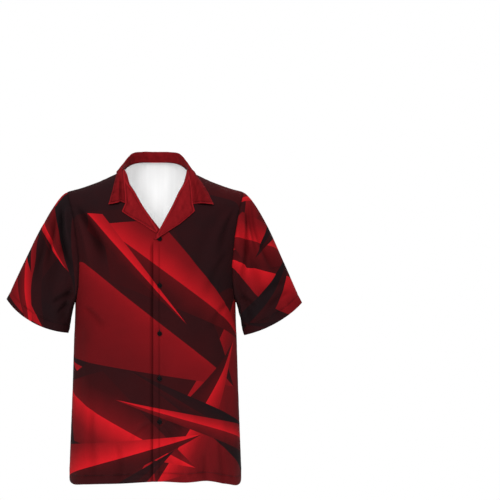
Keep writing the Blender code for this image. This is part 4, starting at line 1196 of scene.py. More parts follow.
def outwards(grid):
    """Unit normals of a tube of points, pointing away from its middle."""
    middle = grid.mean(axis=1, keepdims=True)
    normal = facing(grid, ring=True)
    return normal * np.sign((normal * (grid - middle)).sum(axis=(1, 2)))[:, None, None]


def sleeve_surface(side):
    """A sleeve with its folds, creases, armhole seam and stitched hem.

    Returns its points, their inward directions, their lengths from the armhole and its shade.
    """
    grid, turn, down, leave = sleeve_grid(side)
    grid = hem_rows(closed(grid), 0)[:, :-1]
    around_arm = lengths(grid, 1)
    along_arm = lengths(grid, 0)
    x, y, z = np.moveaxis(grid, 2, 0)
    creases = (crease_depth(x, z, SLEEVE_CREASES[side]) * ease(-y / SLEEVE_CALM_SIDE)
               + crease_depth(x, z, SLEEVE_BACK_CREASES) * ease(y / SLEEVE_CALM_SIDE)
               + waves(around_arm, along_arm, SLEEVE_WAVES, side)) * ease(along_arm / SLEEVE_CALM_TOP)
    folds = sleeve_depth(turn, down)
    grid = grid - outwards(grid) * (creases + folds)[..., None]
    grid = relaxed(np.concatenate([grid[:, -2:], grid, grid[:, :2]], axis=1), SLEEVE_SMOOTHED)[:, 2:-2]
    lines = seam_relief(around_arm, along_arm, 61)
    lines = lines + stitched_hem(around_arm, along_arm[-1:] - along_arm, 63)
    depth = lines * ease(along_arm / SLEEVE_RELIEF_START) + SLEEVE_SINK * hump(along_arm, SEAM_WIDTH)
    grid = grid - outwards(grid) * depth[..., None]
    normal = outwards(grid)
    normal[0] = unit(normal[0] - (normal[0] * leave).sum(axis=-1, keepdims=True) * leave)
    return grid, -normal, along_arm, shade_of(creases + SLEEVE_FOLD_SHADE * folds, lines)


SLEEVE_PRINTS = {LEFT: printed_cloth("cloth_print_sleeve_left", darts(104, 0.50, 0.40, 0.7)),
                 RIGHT: printed_cloth("cloth_print_sleeve_right", darts(118, 0.50, 0.40, 0.7))}


def make_sleeve(name, side):
    """A sleeve as a tube of cloth, its flat coordinates parted at the seam under the arm."""
    grid, inward, along_arm, shade = sleeve_surface(side)
    grid, inward, from_hem, shade = (np.roll(part, -UNDERARM_ROW, axis=1)
                                     for part in (grid, inward, along_arm[-1:] - along_arm, shade))
    parted = lengths(grid, 1)
    flat = np.stack([parted - parted[:, -1:] / 2, from_hem - SLEEVE_FLAT_LOW], -1)
    printed = turned_in(from_hem, [])
    printed[:SLEEVE_ALLOWANCE] = True
    return cloth_wall(name, grid, inward, flat, (SLEEVE_PRINTS[side], WHITE_INSIDE), shade,
                      hem_thickness(from_hem), printed, side, ring=True)


SLEEVE_CUTS = {
    LEFT: Cut("sleeve_left", 0.470, 0.306, 0.0930, ("shirt_front_left", "shirt_back")),
    RIGHT: Cut("sleeve_right", 0.475, 0.300, 0.0940, ("shirt_front_right", "shirt_back")),
}
for side, cut in SLEEVE_CUTS.items():
    sleeve = make_sleeve(f"shirt_{cut.node}", side)
    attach(sleeve, "root")
    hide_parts(cut.node)


# ================================================================ lapels
# The tops of the fronts, turned outwards and pressed flat. They show the plain red facing, which
# runs round the front's folded edge; their free edges are topstitched.

LAPEL_ROLL_LIFT = 0.0035  # soft swelling of a turned lapel beside its fold
LAPEL_WRAP = 0.004        # how far the facing reaches past the fold on the inside
LAPEL_COLUMNS = 44
LAPEL_FULL_SWELL = 0.040  # width from which it swells in full
LAPEL_FULL_TURN = 0.025   # and from which it turns round in full
LAPEL_BEND = 6.0          # the facing bends on inside the fold by this times its reach squared
LAPEL_FADE = 0.010        # the waves start this far along a rib and grow over the same length
RIBS_BETWEEN = 12         # ribs from one row of the table to the next
RIBS_AT_TIP = 31          # and from the first row to the second
AWAY_COLUMN = 6           # column that gives the way in which a rib leaves its fold
ARC_STEPS = 15
WRAP_STEPS = 6
FACING_EDGE = 0.012       # place along a rib at which the lapel starts to show
FACING_FADE = 0.006
TOPSTITCH = 0.0045        # from the edge
STITCH_GROOVE = 0.00045   # depth of the cloth at its topstitches
GROOVE_WIDTH = 0.0013
STITCH_RIM = 0.00025      # and how far it swells between them and its edge
RIM_SLOPE = 0.0020
# Painted shade of a stitched edge at its topstitches, and a painted highlight on its rim
STITCH_PAINTED_SHADE = 0.30        # shade of the topstitches
DARK_WIDTH = 0.0016
RIM_PAINTED_HIGHLIGHT = 0.34          # and how much lighter the edge is
LIGHT_WIDTH = 0.0026
LAPEL_WAVES = (           # one slight wave, and the small rumples of pressed cloth
    Wave(0.0005, 0.0, 0.0, 0.0240, 0.0300, 71),
    Wave(0.00022, 0.4, 0.0, 0.0085, 0.0140, 79),
    Wave(0.00011, 0.0, -0.5, 0.0042, 0.0065, 80),
)
# Painted shade of the rumples above: darker in their hollows, lighter on their crests
RUMPLE_PAINTED_SHADE = (Wave(0.10, 0.4, 0.0, 0.0085, 0.0140, 0), Wave(0.07, 0.0, -0.5, 0.0042, 0.0065, 1))

LapelRow = namedtuple("LapelRow", "roll_z edge_x edge_z lift")
LAPELS = {  # from the bottom tip along the lower edge to the corner, then up the collar seam
    LEFT: (
        LapelRow(-0.1765, 0.0002, -0.1785, 0.0036),
        LapelRow(-0.1715, 0.0137, -0.1692, 0.0054),
        LapelRow(-0.1650, 0.0285, -0.1596, 0.0042),
        LapelRow(-0.1480, 0.0585, -0.1402, 0.0032),
        LapelRow(-0.1290, 0.0832, -0.1190, 0.0026),
        LapelRow(-0.1180, 0.0928, -0.1102, 0.0026),
        LapelRow(-0.1000, 0.0885, -0.0935, 0.0024),
        LapelRow(-0.0700, 0.0865, -0.0650, 0.0024),
        LapelRow(-0.0430, 0.0835, -0.0400, 0.0024),
        LapelRow(-0.0240, 0.0797, -0.0225, 0.0024),
        LapelRow(-0.0160, 0.0785, -0.0160, 0.0022),
        LapelRow(-0.0075, 0.0784, -0.0080, 0.0018),
    ),
    RIGHT: (
        LapelRow(-0.1535, -0.0012, -0.1625, 0.0024),
        LapelRow(-0.1400, 0.0150, -0.1523, 0.0026),
        LapelRow(-0.1260, 0.0311, -0.1418, 0.0028),
        LapelRow(-0.1130, 0.0611, -0.1242, 0.0028),
        LapelRow(-0.1030, 0.0797, -0.1118, 0.0028),
        LapelRow(-0.0890, 0.0717, -0.0918, 0.0024),
        LapelRow(-0.0650, 0.0735, -0.0640, 0.0024),
        LapelRow(-0.0420, 0.0757, -0.0400, 0.0024),
        LapelRow(-0.0240, 0.0767, -0.0225, 0.0024),
        LapelRow(-0.0160, 0.0776, -0.0160, 0.0022),
        LapelRow(-0.0075, 0.0784, -0.0080, 0.0018),
    ),
}
LAPEL_CORNER = {LEFT: 5, RIGHT: 4}  # number of the row that ends at the lapel's corner


def chest(x, z, side):
    """Points of a front's outside at x and z."""
    x, z = np.broadcast_arrays(np.asarray(x, float), np.asarray(z, float))
    point = torso(angle_of(x, z), z, False, side, sunk(x, side))
    point[..., 0] = x
    return point


def chest_normal(x, z, side):
    """The direction straight off a front, square to the steps to two neighbours 1 mm away."""
    point = chest(x, z, side)
    return unit(np.cross(chest(x, z - 0.001, side) - point, chest(x + 0.001, z, side) - point))


def on_front(x, z, lift, side):
    """Points at a height above a front, its creases and lines included."""
    x, z = np.broadcast_arrays(np.asarray(x, float), np.asarray(z, float))
    lift = np.asarray(lift) - (front_creases(x * side, z) + front_lines(x * side, z, side))
    return chest(x, z, side) + chest_normal(x, z, side) * lift[..., None]


def topstitched(from_edge):
    """Depth of a stitched edge: a groove at the stitches and a slightly raised rim outside it."""
    groove = STITCH_GROOVE * hump(from_edge - TOPSTITCH, GROOVE_WIDTH)
    return groove - STITCH_RIM * ease((TOPSTITCH - from_edge) / RIM_SLOPE)


def edge_shade_and_highlight(from_edge):
    """Painted shade and highlight of a stitched edge: a painted dark line at the stitches, and a painted
    highlight on the rim outside it.
    """
    return STITCH_PAINTED_SHADE * hump(from_edge - TOPSTITCH, DARK_WIDTH) - RIM_PAINTED_HIGHLIGHT * hump(from_edge, LIGHT_WIDTH)


def lapel_grid(side):
    """Outer points of a lapel along straight ribs from the fold to the edge.

    A rib starts inside the front, turns round its edge as part of a circle, and then swells off
    the chest as sin(pi * sqrt(t)). The turn is smaller where the rib is short.
    """
    last = len(LAPELS[side]) - 1
    places = np.unique(np.concatenate([np.linspace(0, last, RIBS_BETWEEN * last + 1),
                                       np.linspace(0, 1, RIBS_AT_TIP)]))
    roll_z, edge_x, edge_z, lift = (
        np.interp(places, np.arange(last + 1), values)[:, None] for values in zip(*LAPELS[side]))
    roll_x = look_up(OPENING, roll_z, FRONT_NAME[side])
    width = np.hypot(edge_x - roll_x, edge_z - roll_z)
    steps = close_ends(LAPEL_COLUMNS)[None, :]
    swell = LAPEL_ROLL_LIFT * np.sin(np.pi * np.sqrt(steps)) * np.minimum(width / LAPEL_FULL_SWELL, 1.0)
    x = roll_x + (edge_x - roll_x) * steps
    z = roll_z + (edge_z - roll_z) * steps
    top = on_front(x, z, LAYER + (lift - LAYER) * steps + swell, side)
    centre = on_front(roll_x, roll_z, -CLOTH / 2, side)
    out = chest_normal(roll_x, roll_z, side)
    away = unit(top[:, [AWAY_COLUMN]] - top[:, :1])
    away = unit(away - (away * out).sum(axis=-1, keepdims=True) * out)
    wrapped = np.minimum(width / LAPEL_FULL_TURN, 1.0)[..., None]
    turn = np.pi / 2 - np.pi * wrapped * np.linspace(1, 0, ARC_STEPS)[None, :-1, None]
    radius = 1.5 * CLOTH + SEAM
    arc = centre + radius * (np.sin(turn) * out - np.cos(turn) * away)
    reach = LAPEL_WRAP * wrapped * np.linspace(1, 0, WRAP_STEPS)[None, :-1, None]
    inside = arc[:, :1] - reach * (np.sin(turn[:, :1]) * away + np.cos(turn[:, :1]) * out)
    return np.concatenate([inside - LAPEL_BEND * reach ** 2 * out, arc, top], axis=1), places


RED_STOPS = ((0.3, (0.165, 0.0060, 0.0085)), (0.7, (0.215, 0.0080, 0.0110)))
RED_CLOUDS = (70.0, 14.0, 0.0)  # long clouds, so many to a metre across and down
RED_WEAVE_STRENGTH = 0.22


def plain_red():
    """Polyester dyed in one deep red, with soft clouds, painted shade and the same weave as the printed
    cloth.
    """
    material, place, shader = principled("cloth_plain_red", {**POLYESTER, "Roughness": 0.75})
    cloud = clouds(stretched(place, RED_CLOUDS), 1.0, 3.0)
    feed(shader, "Base Color", shaded(ramp(cloud, *RED_STOPS)))
    weave_bump(place, shader, RED_WEAVE_STRENGTH)
    return material


PLAIN_RED = plain_red()


def lapel_surface(side):
    """A lapel with its topstitched edge, slight waves and rumples.

    Returns its points, their inward directions, two lengths, its corner's row and its shade.
    """
    grid, places = lapel_grid(side)
    along_rib = lengths(grid, 1)
    along_edge = lengths(grid, 0)
    corner = np.argmin(np.abs(places - LAPEL_CORNER[side]))
    from_side = along_rib[:, -1:] - along_rib
    lines = topstitched(from_side) * ease((along_rib - FACING_EDGE) / FACING_FADE)
    soft = waves(along_edge, along_rib, LAPEL_WAVES) * ease((along_rib - LAPEL_FADE) / LAPEL_FADE)
    grid = grid - outward_from(grid, TORSO_MIDDLE) * (lines + soft)[..., None]
    # painted shade of the lines and rumples, and the edge's painted shade and highlight
    shade = shade_of(0.0, lines) + waves(along_edge, along_rib, RUMPLE_PAINTED_SHADE, 79)
    shade = shade + edge_shade_and_highlight(np.minimum(from_side, np.abs(along_rib - FACING_EDGE)))
    return grid, -outward_from(grid, TORSO_MIDDLE), along_edge, along_rib, corner, shade


def make_lapel(name, side):
    """The turned-out top of a front as a wall of plain red cloth."""
    grid, inward, along_edge, along_rib, _, shade = lapel_surface(side)
    return cloth_wall(name, grid, inward, np.stack([along_rib, along_edge], -1), (PLAIN_RED,), shade,
                      CLOTH, np.ones(grid.shape[:2]), side)


LAPEL_CUTS = {
    LEFT: Cut("lapel_left", 0.076, 0.260, 0.0075, ("shirt_front_left",)),
    RIGHT: Cut("lapel_right", 0.064, 0.244, 0.0061, ("shirt_front_right",)),
}
for side, cut in LAPEL_CUTS.items():
    lapel = make_lapel(f"shirt_{cut.node}", side)
    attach(lapel, "root")
    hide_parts(cut.node)


# ================================================================ collar
# A camp collar of the plain red cloth: one piece that stands up from the neck seam, folds over and
# ends in a point on each side. Its outer edge is turned in and topstitched.

COLLAR_STEPS = 120
COLLAR_RIBS = 64
RIBS_EVEN = 0.9         # share by which a rib's points lie evenly; the rest crowds them at the fold
FOLD_RADIUS = 0.0032    # rounding of the collar's fold
FOLD_PULL = 0.75        # how far a rib's two control points are drawn together at the fold
LEAST_SPREAD = 0.16     # their least distance, in widths of the rib
NECK_SEAM_SINK = 0.0008  # the stand starts this far below the back's neck edge
GORGE_OVERLAP = 0.0010   # and a point this far over the lapel's edge
LEAF_SEAM_LIFT = LAYER + 0.0006
LEAF_EDGE_LIFT = LAYER + 0.0010
LEAF_SWELL = 0.0055     # a point of the collar stands this far off its chord

CollarRow = namedtuple("CollarRow", "seam_x roll edge")
COLLAR_BACK = (  # place on the back neck seam, top of the fold and outer edge, from the back centre
    CollarRow(0.0000, (0.0000, 0.0665, 0.0405), (0.0000, 0.0775, 0.0045)),
    CollarRow(0.0310, (0.0330, 0.0605, 0.0398), (0.0400, 0.0710, 0.0022)),
    CollarRow(0.0540, (0.0565, 0.0435, 0.0358), (0.0680, 0.0530, -0.0020)),
    CollarRow(0.0690, (0.0712, 0.0215, 0.0200), (0.0835, 0.0280, -0.0085)),
    CollarRow(0.0758, (0.0775, 0.0030, 0.0082), (0.0900, 0.0020, -0.0098)),
)
COLLAR_TURN = (0.0778, -0.0085)  # where the neck seam passes from the stand to the lapel, x and z
COLLAR_TURN_ROLL = (0.0820, -0.0180, -0.0010)
COLLAR_TURN_EDGE = (0.0945, -0.0180, -0.0122)

LeafRow = namedtuple("LeafRow", "seam_x seam_z edge_x edge_z")
LEAVES = {  # the collar's two points, lying on the chest beside the lapels
    LEFT: (
        LeafRow(0.0806, -0.0230, 0.0990, -0.0250),
        LeafRow(0.0843, -0.0390, 0.1085, -0.0385),
        LeafRow(0.0870, -0.0610, 0.1205, -0.0570),
        LeafRow(0.0885, -0.0790, 0.1300, -0.0775),
        LeafRow(0.0895, -0.0925, 0.1362, -0.0955),
    ),
    RIGHT: (
        LeafRow(0.0776, -0.0230, 0.0935, -0.0235),
        LeafRow(0.0768, -0.0390, 0.0975, -0.0370),
        LeafRow(0.0755, -0.0580, 0.1015, -0.0560),
        LeafRow(0.0740, -0.0750, 0.1060, -0.0760),
        LeafRow(0.0727, -0.0905, 0.1105, -0.0955),
    ),
}

LeafFold = namedtuple("LeafFold", "share width depth reach notch")
LEAF_FOLDS = {  # soft troughs up each point of the collar, and how far they lift its lower edge
    LEFT: (
        LeafFold(0.16, 0.10, 0.0034, 0.084, 0.0010),
        LeafFold(0.62, 0.16, 0.0012, 0.050, 0.0006),
    ),
    RIGHT: (
        LeafFold(0.26, 0.10, 0.0044, 0.088, 0.0050),
        LeafFold(0.70, 0.14, 0.0010, 0.045, 0.0000),
    ),
}
LEAF_FADE = 0.035       # length over which a fold ends up the point
NOTCH_FADE = 0.022      # and the notch below it
CURL_FROM = (0.55, 0.45)  # the tip turns up from this share of its width over this share
CURL_FADE = 0.010
COLLAR_SEAM_DIP = 0.0007
SEAM_DIP_WIDTH = 0.0025
COLLAR_RELIEF_START = (0.002, 0.004)
COLLAR_FADE = 0.010     # the waves grow over this length from the neck seam
COLLAR_CROWDED = 1.4    # power that draws the ribs together at the points
COLLAR_WAVES = (
    Wave(0.0005, 0.0, 0.0, 0.0260, 0.0200, 73),
    Wave(0.00022, 0.4, 0.0, 0.0085, 0.0140, 83),
    Wave(0.00011, 0.0, -0.5, 0.0042, 0.0065, 84),
)
LEAF_CURL = 0.0030      # the tip of each point turns up by this
COLLAR_PAINTED_SHADE = 0.21    # painted shade: the collar is painted this much darker than the lapels


def collar_half(side):
    """Seam, fold and edge of half the collar, from the back centre to its point."""
    guides = []
    for row in COLLAR_BACK:
        neck_y, neck_z = neck_back(row.seam_x)
        guides.append(((row.seam_x, neck_y, neck_z - NECK_SEAM_SINK), row.roll, row.edge))
    guides.append((on_front(*COLLAR_TURN, LEAF_SEAM_LIFT, side), COLLAR_TURN_ROLL, COLLAR_TURN_EDGE))
    for row in LEAVES[side]:
        seam = on_front(row.seam_x - GORGE_OVERLAP, row.seam_z, LEAF_SEAM_LIFT, side)
        middle = on_front((row.seam_x + row.edge_x) / 2, (row.seam_z + row.edge_z) / 2,
                          LEAF_EDGE_LIFT + LEAF_SWELL, side)
        guides.append((seam, middle, on_front(row.edge_x, row.edge_z, LEAF_EDGE_LIFT, side)))
    guides = np.array(guides)
    steps = lengths(guides, 0).mean(axis=1)
    places = steps[-1] * (1 - (1 - np.linspace(0, 1, COLLAR_STEPS + 1)) ** COLLAR_CROWDED)
    ribs = along(places, steps, guides.reshape(len(guides), 9)).reshape(-1, 3, 3)
    return ribs, steps[-1] - places


def collar_grid():
    """Visible points of the collar: up the stand, over the fold and down to the outer edge.

    Each rib is a cubic curve whose middle lies on the fold's top and whose two inner control
    points are spread apart there, so that the fold is round.
    """
    left, left_rest = collar_half(LEFT)
    right, right_rest = collar_half(RIGHT)
    ribs = np.concatenate([mirrored(right[:0:-1], RIGHT), left])
    seam, roll, edge = ribs[:, 0], ribs[:, 1], ribs[:, 2]
    knee = (8 * roll - seam - edge) / 6
    width = np.linalg.norm(edge - seam, axis=-1, keepdims=True)
    height = np.linalg.norm(roll - (seam + edge) / 2, axis=-1, keepdims=True)
    speed = np.sqrt(8 * FOLD_RADIUS * height)
    spread = np.maximum((speed / FOLD_PULL - width) / 2, LEAST_SPREAD * width) * unit(edge - seam)
    share = np.linspace(-1, 1, COLLAR_RIBS + 1)
    share = (1 + RIBS_EVEN * share + (1 - RIBS_EVEN) * share ** 3) / 2
    t = share[None, :, None]
    first, second = (knee - spread)[:, None], (knee + spread)[:, None]
    grid = ((1 - t) ** 3 * seam[:, None] + 3 * t * (1 - t) ** 2 * first
            + 3 * t * t * (1 - t) * second + t ** 3 * edge[:, None])
    return grid, share[None, :], right_rest[:0:-1, None], left_rest[:, None]


def leaf_relief(share, rest, side):
    """How deep the folds of a point press it in, and how far they lift its lower edge.

    Each is exp(-s^2) across the point, s the share from the fold over its width, and fades with
    the distance from the lower edge.
    """
    depth = 0.0 * share * rest
    notch = 0.0 * share * rest
    for fold in LEAF_FOLDS[side]:
        across = hump(share - fold.share, fold.width)
        depth += fold.depth * across * ease((fold.reach - rest) / LEAF_FADE)
        notch += fold.notch * across * ease(1 - rest / NOTCH_FADE)
    curl = LEAF_CURL * ease((share - CURL_FROM[0]) / CURL_FROM[1]) ** 2 * np.exp(-rest / CURL_FADE)
    return depth - curl, notch


def upward(grid):
    """Unit normals of the collar, on the side that shows, which faces up on its fold."""
    normal = facing(grid)
    return normal * np.sign(normal[len(grid) // 2, COLLAR_RIBS // 2, 2])


def collar_surface():
    """The collar with the folds of its points and its topstitched edge.

    Returns its points, their inward directions, three lengths and its shade.
    """
    grid, share, right_rest, left_rest = collar_grid()
    depths, notches = zip(leaf_relief(share, right_rest, RIGHT), leaf_relief(share, left_rest, LEFT))
    rest = np.concatenate([right_rest, left_rest])
    across = lengths(grid, 1)
    round_neck = lengths(grid, 0)
    from_edge = np.minimum(across[:, -1:] - across, rest)
    creases = np.concatenate(depths)
    lines = topstitched(from_edge) * ease((across - COLLAR_RELIEF_START[0]) / COLLAR_RELIEF_START[1])
    soft = waves(round_neck, across, COLLAR_WAVES) * ease(across / COLLAR_FADE)
    depth = creases + lines + soft + COLLAR_SEAM_DIP * hump(across, SEAM_DIP_WIDTH)
    grid = grid - upward(grid) * depth[..., None]
    grid[..., 2] += np.concatenate(notches)
    # painted shade of folds, lines and rumples, the edge's painted highlight, and the collar's extra
    # painted shade
    shade = shade_of(creases, lines) + edge_shade_and_highlight(from_edge) + COLLAR_PAINTED_SHADE
    shade = shade + waves(round_neck, across, RUMPLE_PAINTED_SHADE, 83)
    return grid, -upward(grid), across, round_neck, rest, shade


def make_collar():
    """The collar as a wall of plain red cloth."""
    grid, inward, across, round_neck, _, shade = collar_surface()
    return cloth_wall("shirt_collar", grid, inward, np.stack([across, round_neck], -1), (PLAIN_RED,),
                      shade, CLOTH, np.ones(grid.shape[:2]))


collar = make_collar()
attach(collar, "root")
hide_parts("collar")


# ================================================================ buttonholes
# Five upright buttonholes in the upper front: a slit bound all round with dark satin stitch. Each
# button sits at the lower end of its own, so that the upper end shows above it.

BUTTON_X = 0.0095
BUTTON_Z = (-0.1765, -0.2871, -0.4010, -0.5080, -0.6100)
HOLE_HALF = 0.0068      # half of a buttonhole's length
HOLE_GAP = 0.0004       # half of the slit's width
HOLE_ABOVE = 0.0030     # its middle lies this far above the button's
SATIN_RADIUS = 0.0006   # of the bound edge
SATIN_RIDGE = 0.12      # share by which a stitch stands out of it
SATIN_STITCHES = 66
SATIN_POINTS = 6        # along the loop for each stitch
SATIN_SIDES = 12
SATIN_RISE = 0.7        # height of the band over the cloth, in its radii
SATIN_FALL = 0.2        # and below the cloth's surface
MOTTLES_FINE = 900.0    # of a thread or of moulded plastic, to a metre
MOTTLE_DARK = 0.75      # its darkest and lightest places, as shares of its colour
MOTTLE_LIGHT = 1.25


def plain_finish(name, color, roughness, coat=0.0):
    """A finish of one colour with fine mottling, for thread and for moulded plastic."""
    material, place, shader = principled(name, {
        "Roughness": roughness, "Specular IOR Level": 0.2, "Coat Weight": coat, "Coat Roughness": 0.08},
        flat=False)
    mottle = clouds(place, MOTTLES_FINE, 2.0)
    darker = tuple(MOTTLE_DARK * part for part in color)
    lighter = tuple(MOTTLE_LIGHT * part for part in color)
    feed(shader, "Base Color", ramp(mottle, (0.35, darker), (0.65, lighter)))
    feed(shader, "Normal", mottle.node("ShaderNodeBump", {}, {
        "Strength": 0.2, "Distance": 0.0001, "Height": mottle}))
    return material


DARK_THREAD = plain_finish("thread_dark", (0.014, 0.008, 0.009), 0.55)


def satin_ring(middle_z):
    """The bound edge of a buttonhole: a round band along a lens-shaped loop, ridged by its stitches.

    The loop is x = w cos(a), z = h sin(a); the band's radius swells with a cosine at each stitch.
    """
    turn = np.linspace(0, 2 * np.pi, SATIN_STITCHES * SATIN_POINTS, endpoint=False)
    loop = np.stack([HOLE_GAP * np.cos(turn), HOLE_HALF * np.sin(turn)], -1)
    along_loop = lengths(closed(loop, 0), 0)
    square = unit(np.stack([np.cos(turn) * HOLE_HALF, np.sin(turn) * HOLE_GAP], -1))[:, None]
    stitch = 2 * np.pi * SATIN_STITCHES * along_loop[:-1, None] / along_loop[-1]
    radius = SATIN_RADIUS * (1 + SATIN_RIDGE * np.cos(stitch))
    bend = np.linspace(0, 2 * np.pi, SATIN_SIDES, endpoint=False)[None]
    lift = radius * np.sin(bend) * np.where(np.sin(bend) > 0, SATIN_RISE, SATIN_FALL)
    x = BUTTON_X + loop[:, None, 0] + square[..., 0] * radius * np.cos(bend)
    z = middle_z + loop[:, None, 1] + square[..., 1] * radius * np.cos(bend)
    return on_front(x, z, lift, LEFT)


def make_buttonholes():
    """All buttonholes as closed rings in one mesh."""
    rings = np.stack([satin_ring(z + HOLE_ABOVE) for z in BUTTON_Z])
    index = np.arange(rings.size // 3).reshape(rings.shape[:3])
    quads = patches(closed(closed(index, 1), 2))
    return new_mesh("shirt_buttonholes", rings.reshape(-1, 3), quads, materials=(DARK_THREAD,))


buttonholes = make_buttonholes()
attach(buttonholes, "root")


# ================================================================ buttons
# Five black four-hole shirt buttons of moulded polyester, 18 lines across, with a raised rim. Each
# is sewn to the lower front with two bars of dark thread.

BUTTON_LIFT = 0.0006    # the button stands off the cloth on its thread
BUTTON_SIDES = 56
THREAD_HOLE = 0.0008    # radius of a thread hole
THREAD_OFF = 0.0016     # thread hole from the centre, across and up
DRILL_FROM = -0.001     # the drill for a thread hole reaches from behind the back
DRILL_TO = 0.004        # to in front of the face
DRILL_SIDES = 20
BUTTON_TURNS = (8, -14, 5, 19, -7)  # each is sewn on a little turned
BUTTON_CREST = 40       # degrees between faces from which an edge of the button stays sharp
BUTTON_THREAD = 0.00016  # radius of the sewing thread
STRAND_GAP = 0.00028    # between the strands of a bar of thread
STRAND_PAST = 0.0002    # a strand bends down this far past its hole's middle
STRAND = np.linspace(0, 1, 9)
STRAND_RISE = 0.0017 + 0.00045 * np.sin(np.pi * STRAND) ** 0.5 - 0.0015 * np.abs(2 * STRAND - 1) ** 12

BUTTON_PROFILE = (  # radius and height over the back, from the back to the middle of the face
    (0.00440, 0.00000), (0.00505, 0.00012), (0.00550, 0.00045), (0.00572, 0.00090), (0.00575, 0.00130),
    (0.00568, 0.00175), (0.00548, 0.00212), (0.00520, 0.00234), (0.00490, 0.00240), (0.00460, 0.00234),
    (0.00430, 0.00218), (0.00395, 0.00202), (0.00350, 0.00194), (0.00250, 0.00188), (0.00060, 0.00185),
)


def turned(name, profile, sides):
    """A closed piece turned round the Y axis from pairs of radius and height, its face towards -Y."""
    radius, height = np.array(profile).T[..., None]
    turn = np.linspace(0, 2 * np.pi, sides, endpoint=False)
    points = np.stack([radius * np.cos(turn), -height + 0 * turn, radius * np.sin(turn)], -1).reshape(-1, 3)
    index = np.arange(len(points)).reshape(-1, sides)
    mesh = bpy.data.meshes.new(name)
    mesh.from_pydata(points, [], patches(closed(index)).tolist() + index[[0, -1]].tolist())
    face_outwards(mesh)
    return placed(name, mesh)


def drilled_button():
    """Points and faces of a button with four thread holes cut through it."""
    disc = turned("button_blank", BUTTON_PROFILE, BUTTON_SIDES)
    drills = []
    for across in (-THREAD_OFF, THREAD_OFF):
        for up in (-THREAD_OFF, THREAD_OFF):
            drill = turned("drill", ((THREAD_HOLE, DRILL_FROM), (THREAD_HOLE, DRILL_TO)), DRILL_SIDES)
            drill.location = (across, 0.0, up)
            cut = disc.modifiers.new("thread_hole", "BOOLEAN")
            cut.operation = "DIFFERENCE"
            cut.object = drill
            drills.append(drill)
    bpy.context.view_layer.update()
    mesh = bpy.data.meshes.new_from_object(disc.evaluated_get(bpy.context.evaluated_depsgraph_get()))
    for thing in drills + [disc]:
        bpy.data.objects.remove(thing, do_unlink=True)
    return mesh


def button_axes(z, degrees):
    """Where a button sits and its three axes: across, up and out, turned about the last."""
    out = chest_normal(np.array(BUTTON_X), np.array(z), LEFT)
    across = unit(np.array([1.0, 0.0, 0.0]) - out[0] * out)
    up = np.cross(across, -out)
    turn = np.radians(degrees)
    place = on_front(BUTTON_X, z, BUTTON_LIFT, LEFT)
    return place, np.cos(turn) * across + np.sin(turn) * up, np.cos(turn) * up - np.sin(turn) * across, out


def make_button(name, place, across, up, out):
    """A copy of the drilled button, sewn on at a place."""
    mesh = BLANK.copy()
    mesh.name = name
    points = np.empty(len(mesh.vertices) * 3, np.float32)
    mesh.vertices.foreach_get("co", points)
    points = place + points.reshape(-1, 3) @ np.stack([across, -out, up])
    mesh.vertices.foreach_set("co", points.ravel())
    mesh.materials.append(BUTTON_BLACK)
    mesh.shade_smooth()
    mesh.set_sharp_from_angle(angle=np.radians(BUTTON_CREST))
    return placed(name, mesh)


def sewing_strands(place, across, up, out):
    """Centrelines of two bars of three strands, each over a pair of holes and down into them."""
    reach = np.outer((2 * STRAND - 1) * (THREAD_OFF + STRAND_PAST), across) + np.outer(STRAND_RISE, out)
    return [place + reach + (bar + beside) * up
            for bar in (-THREAD_OFF, THREAD_OFF) for beside in (-STRAND_GAP, 0.0, STRAND_GAP)]


BUTTON_BLACK = plain_finish("button_black", (0.0025, 0.0025, 0.0030), 0.36, coat=0.03)
BLANK = drilled_button()
strands = []
for number, (z, degrees) in enumerate(zip(BUTTON_Z, BUTTON_TURNS), start=1):
    axes = button_axes(z, degrees)
    strands += sewing_strands(*axes)
    button = make_button(f"shirt_button_{number}", *axes)
    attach(button, "root")
    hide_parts(f"button_{number}")


def threads(name, paths, radius, material):
    """Threads with a round section, drawn by four corners, along many paths of equal length."""
    ahead = unit(np.gradient(paths, axis=1))
    side = unit(np.cross(ahead, (0.0, -1.0, 0.3)))
    over = np.cross(side, ahead)
    radius = np.broadcast_to(radius, paths.shape[1])[None, :, None]
    corners = np.stack([paths + radius * way for way in (side, over, -side, -over)], 2)
    index = np.arange(corners.size // 3).reshape(corners.shape[:3])
    quads = np.concatenate([patches(closed(index, 2)), index[:, 0], index[:, -1, ::-1]])
    return new_mesh(name, corners.reshape(-1, 3), quads, materials=(material,))


button_thread = threads("shirt_button_thread", np.stack(strands), BUTTON_THREAD, DARK_THREAD)
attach(button_thread, "root")


# ================================================================ stitching
# Lockstitch in polyester thread: dark along the turned-up hems of body and sleeves, red along the
# edges of collar and lapels. Both ends of a stitch sink into the cloth.

STITCH_PITCH = 0.0030
STITCH_LENGTH = 0.0025
STITCH_RADIUS = 0.00026
STITCH_START = 0.0020   # from either end of a seam
EDGE_START = 0.004      # topstitches start this far from a seam, or from where a lapel starts to show
CORNER_RIBS = 3         # and stop this many ribs before a lapel's corner
STITCH_STATIONS = (0.0, 0.12, 0.5, 0.88, 1.0)
STITCH_RISE = (-0.9, 0.3, 0.8, 0.3, -0.9)      # in radii
STITCH_SWELL = (0.5, 0.9, 1.0, 0.9, 0.5)


def line_at(grid, inward, distance, at, side=LEFT):
    """Points and outward directions where a distance, which falls down each column, reaches a value."""
    low = np.clip((distance > at).sum(axis=0) - 1, 0, len(distance) - 2)
    number = np.arange(grid.shape[1])
    near, far = distance[low, number], distance[low + 1, number]
    share = ((near - at) / (near - far))[:, None]
    both = np.concatenate([mirrored(grid, side), -mirrored(inward, side)], -1)
    return both[low, number] * (1 - share) + both[low + 1, number] * share


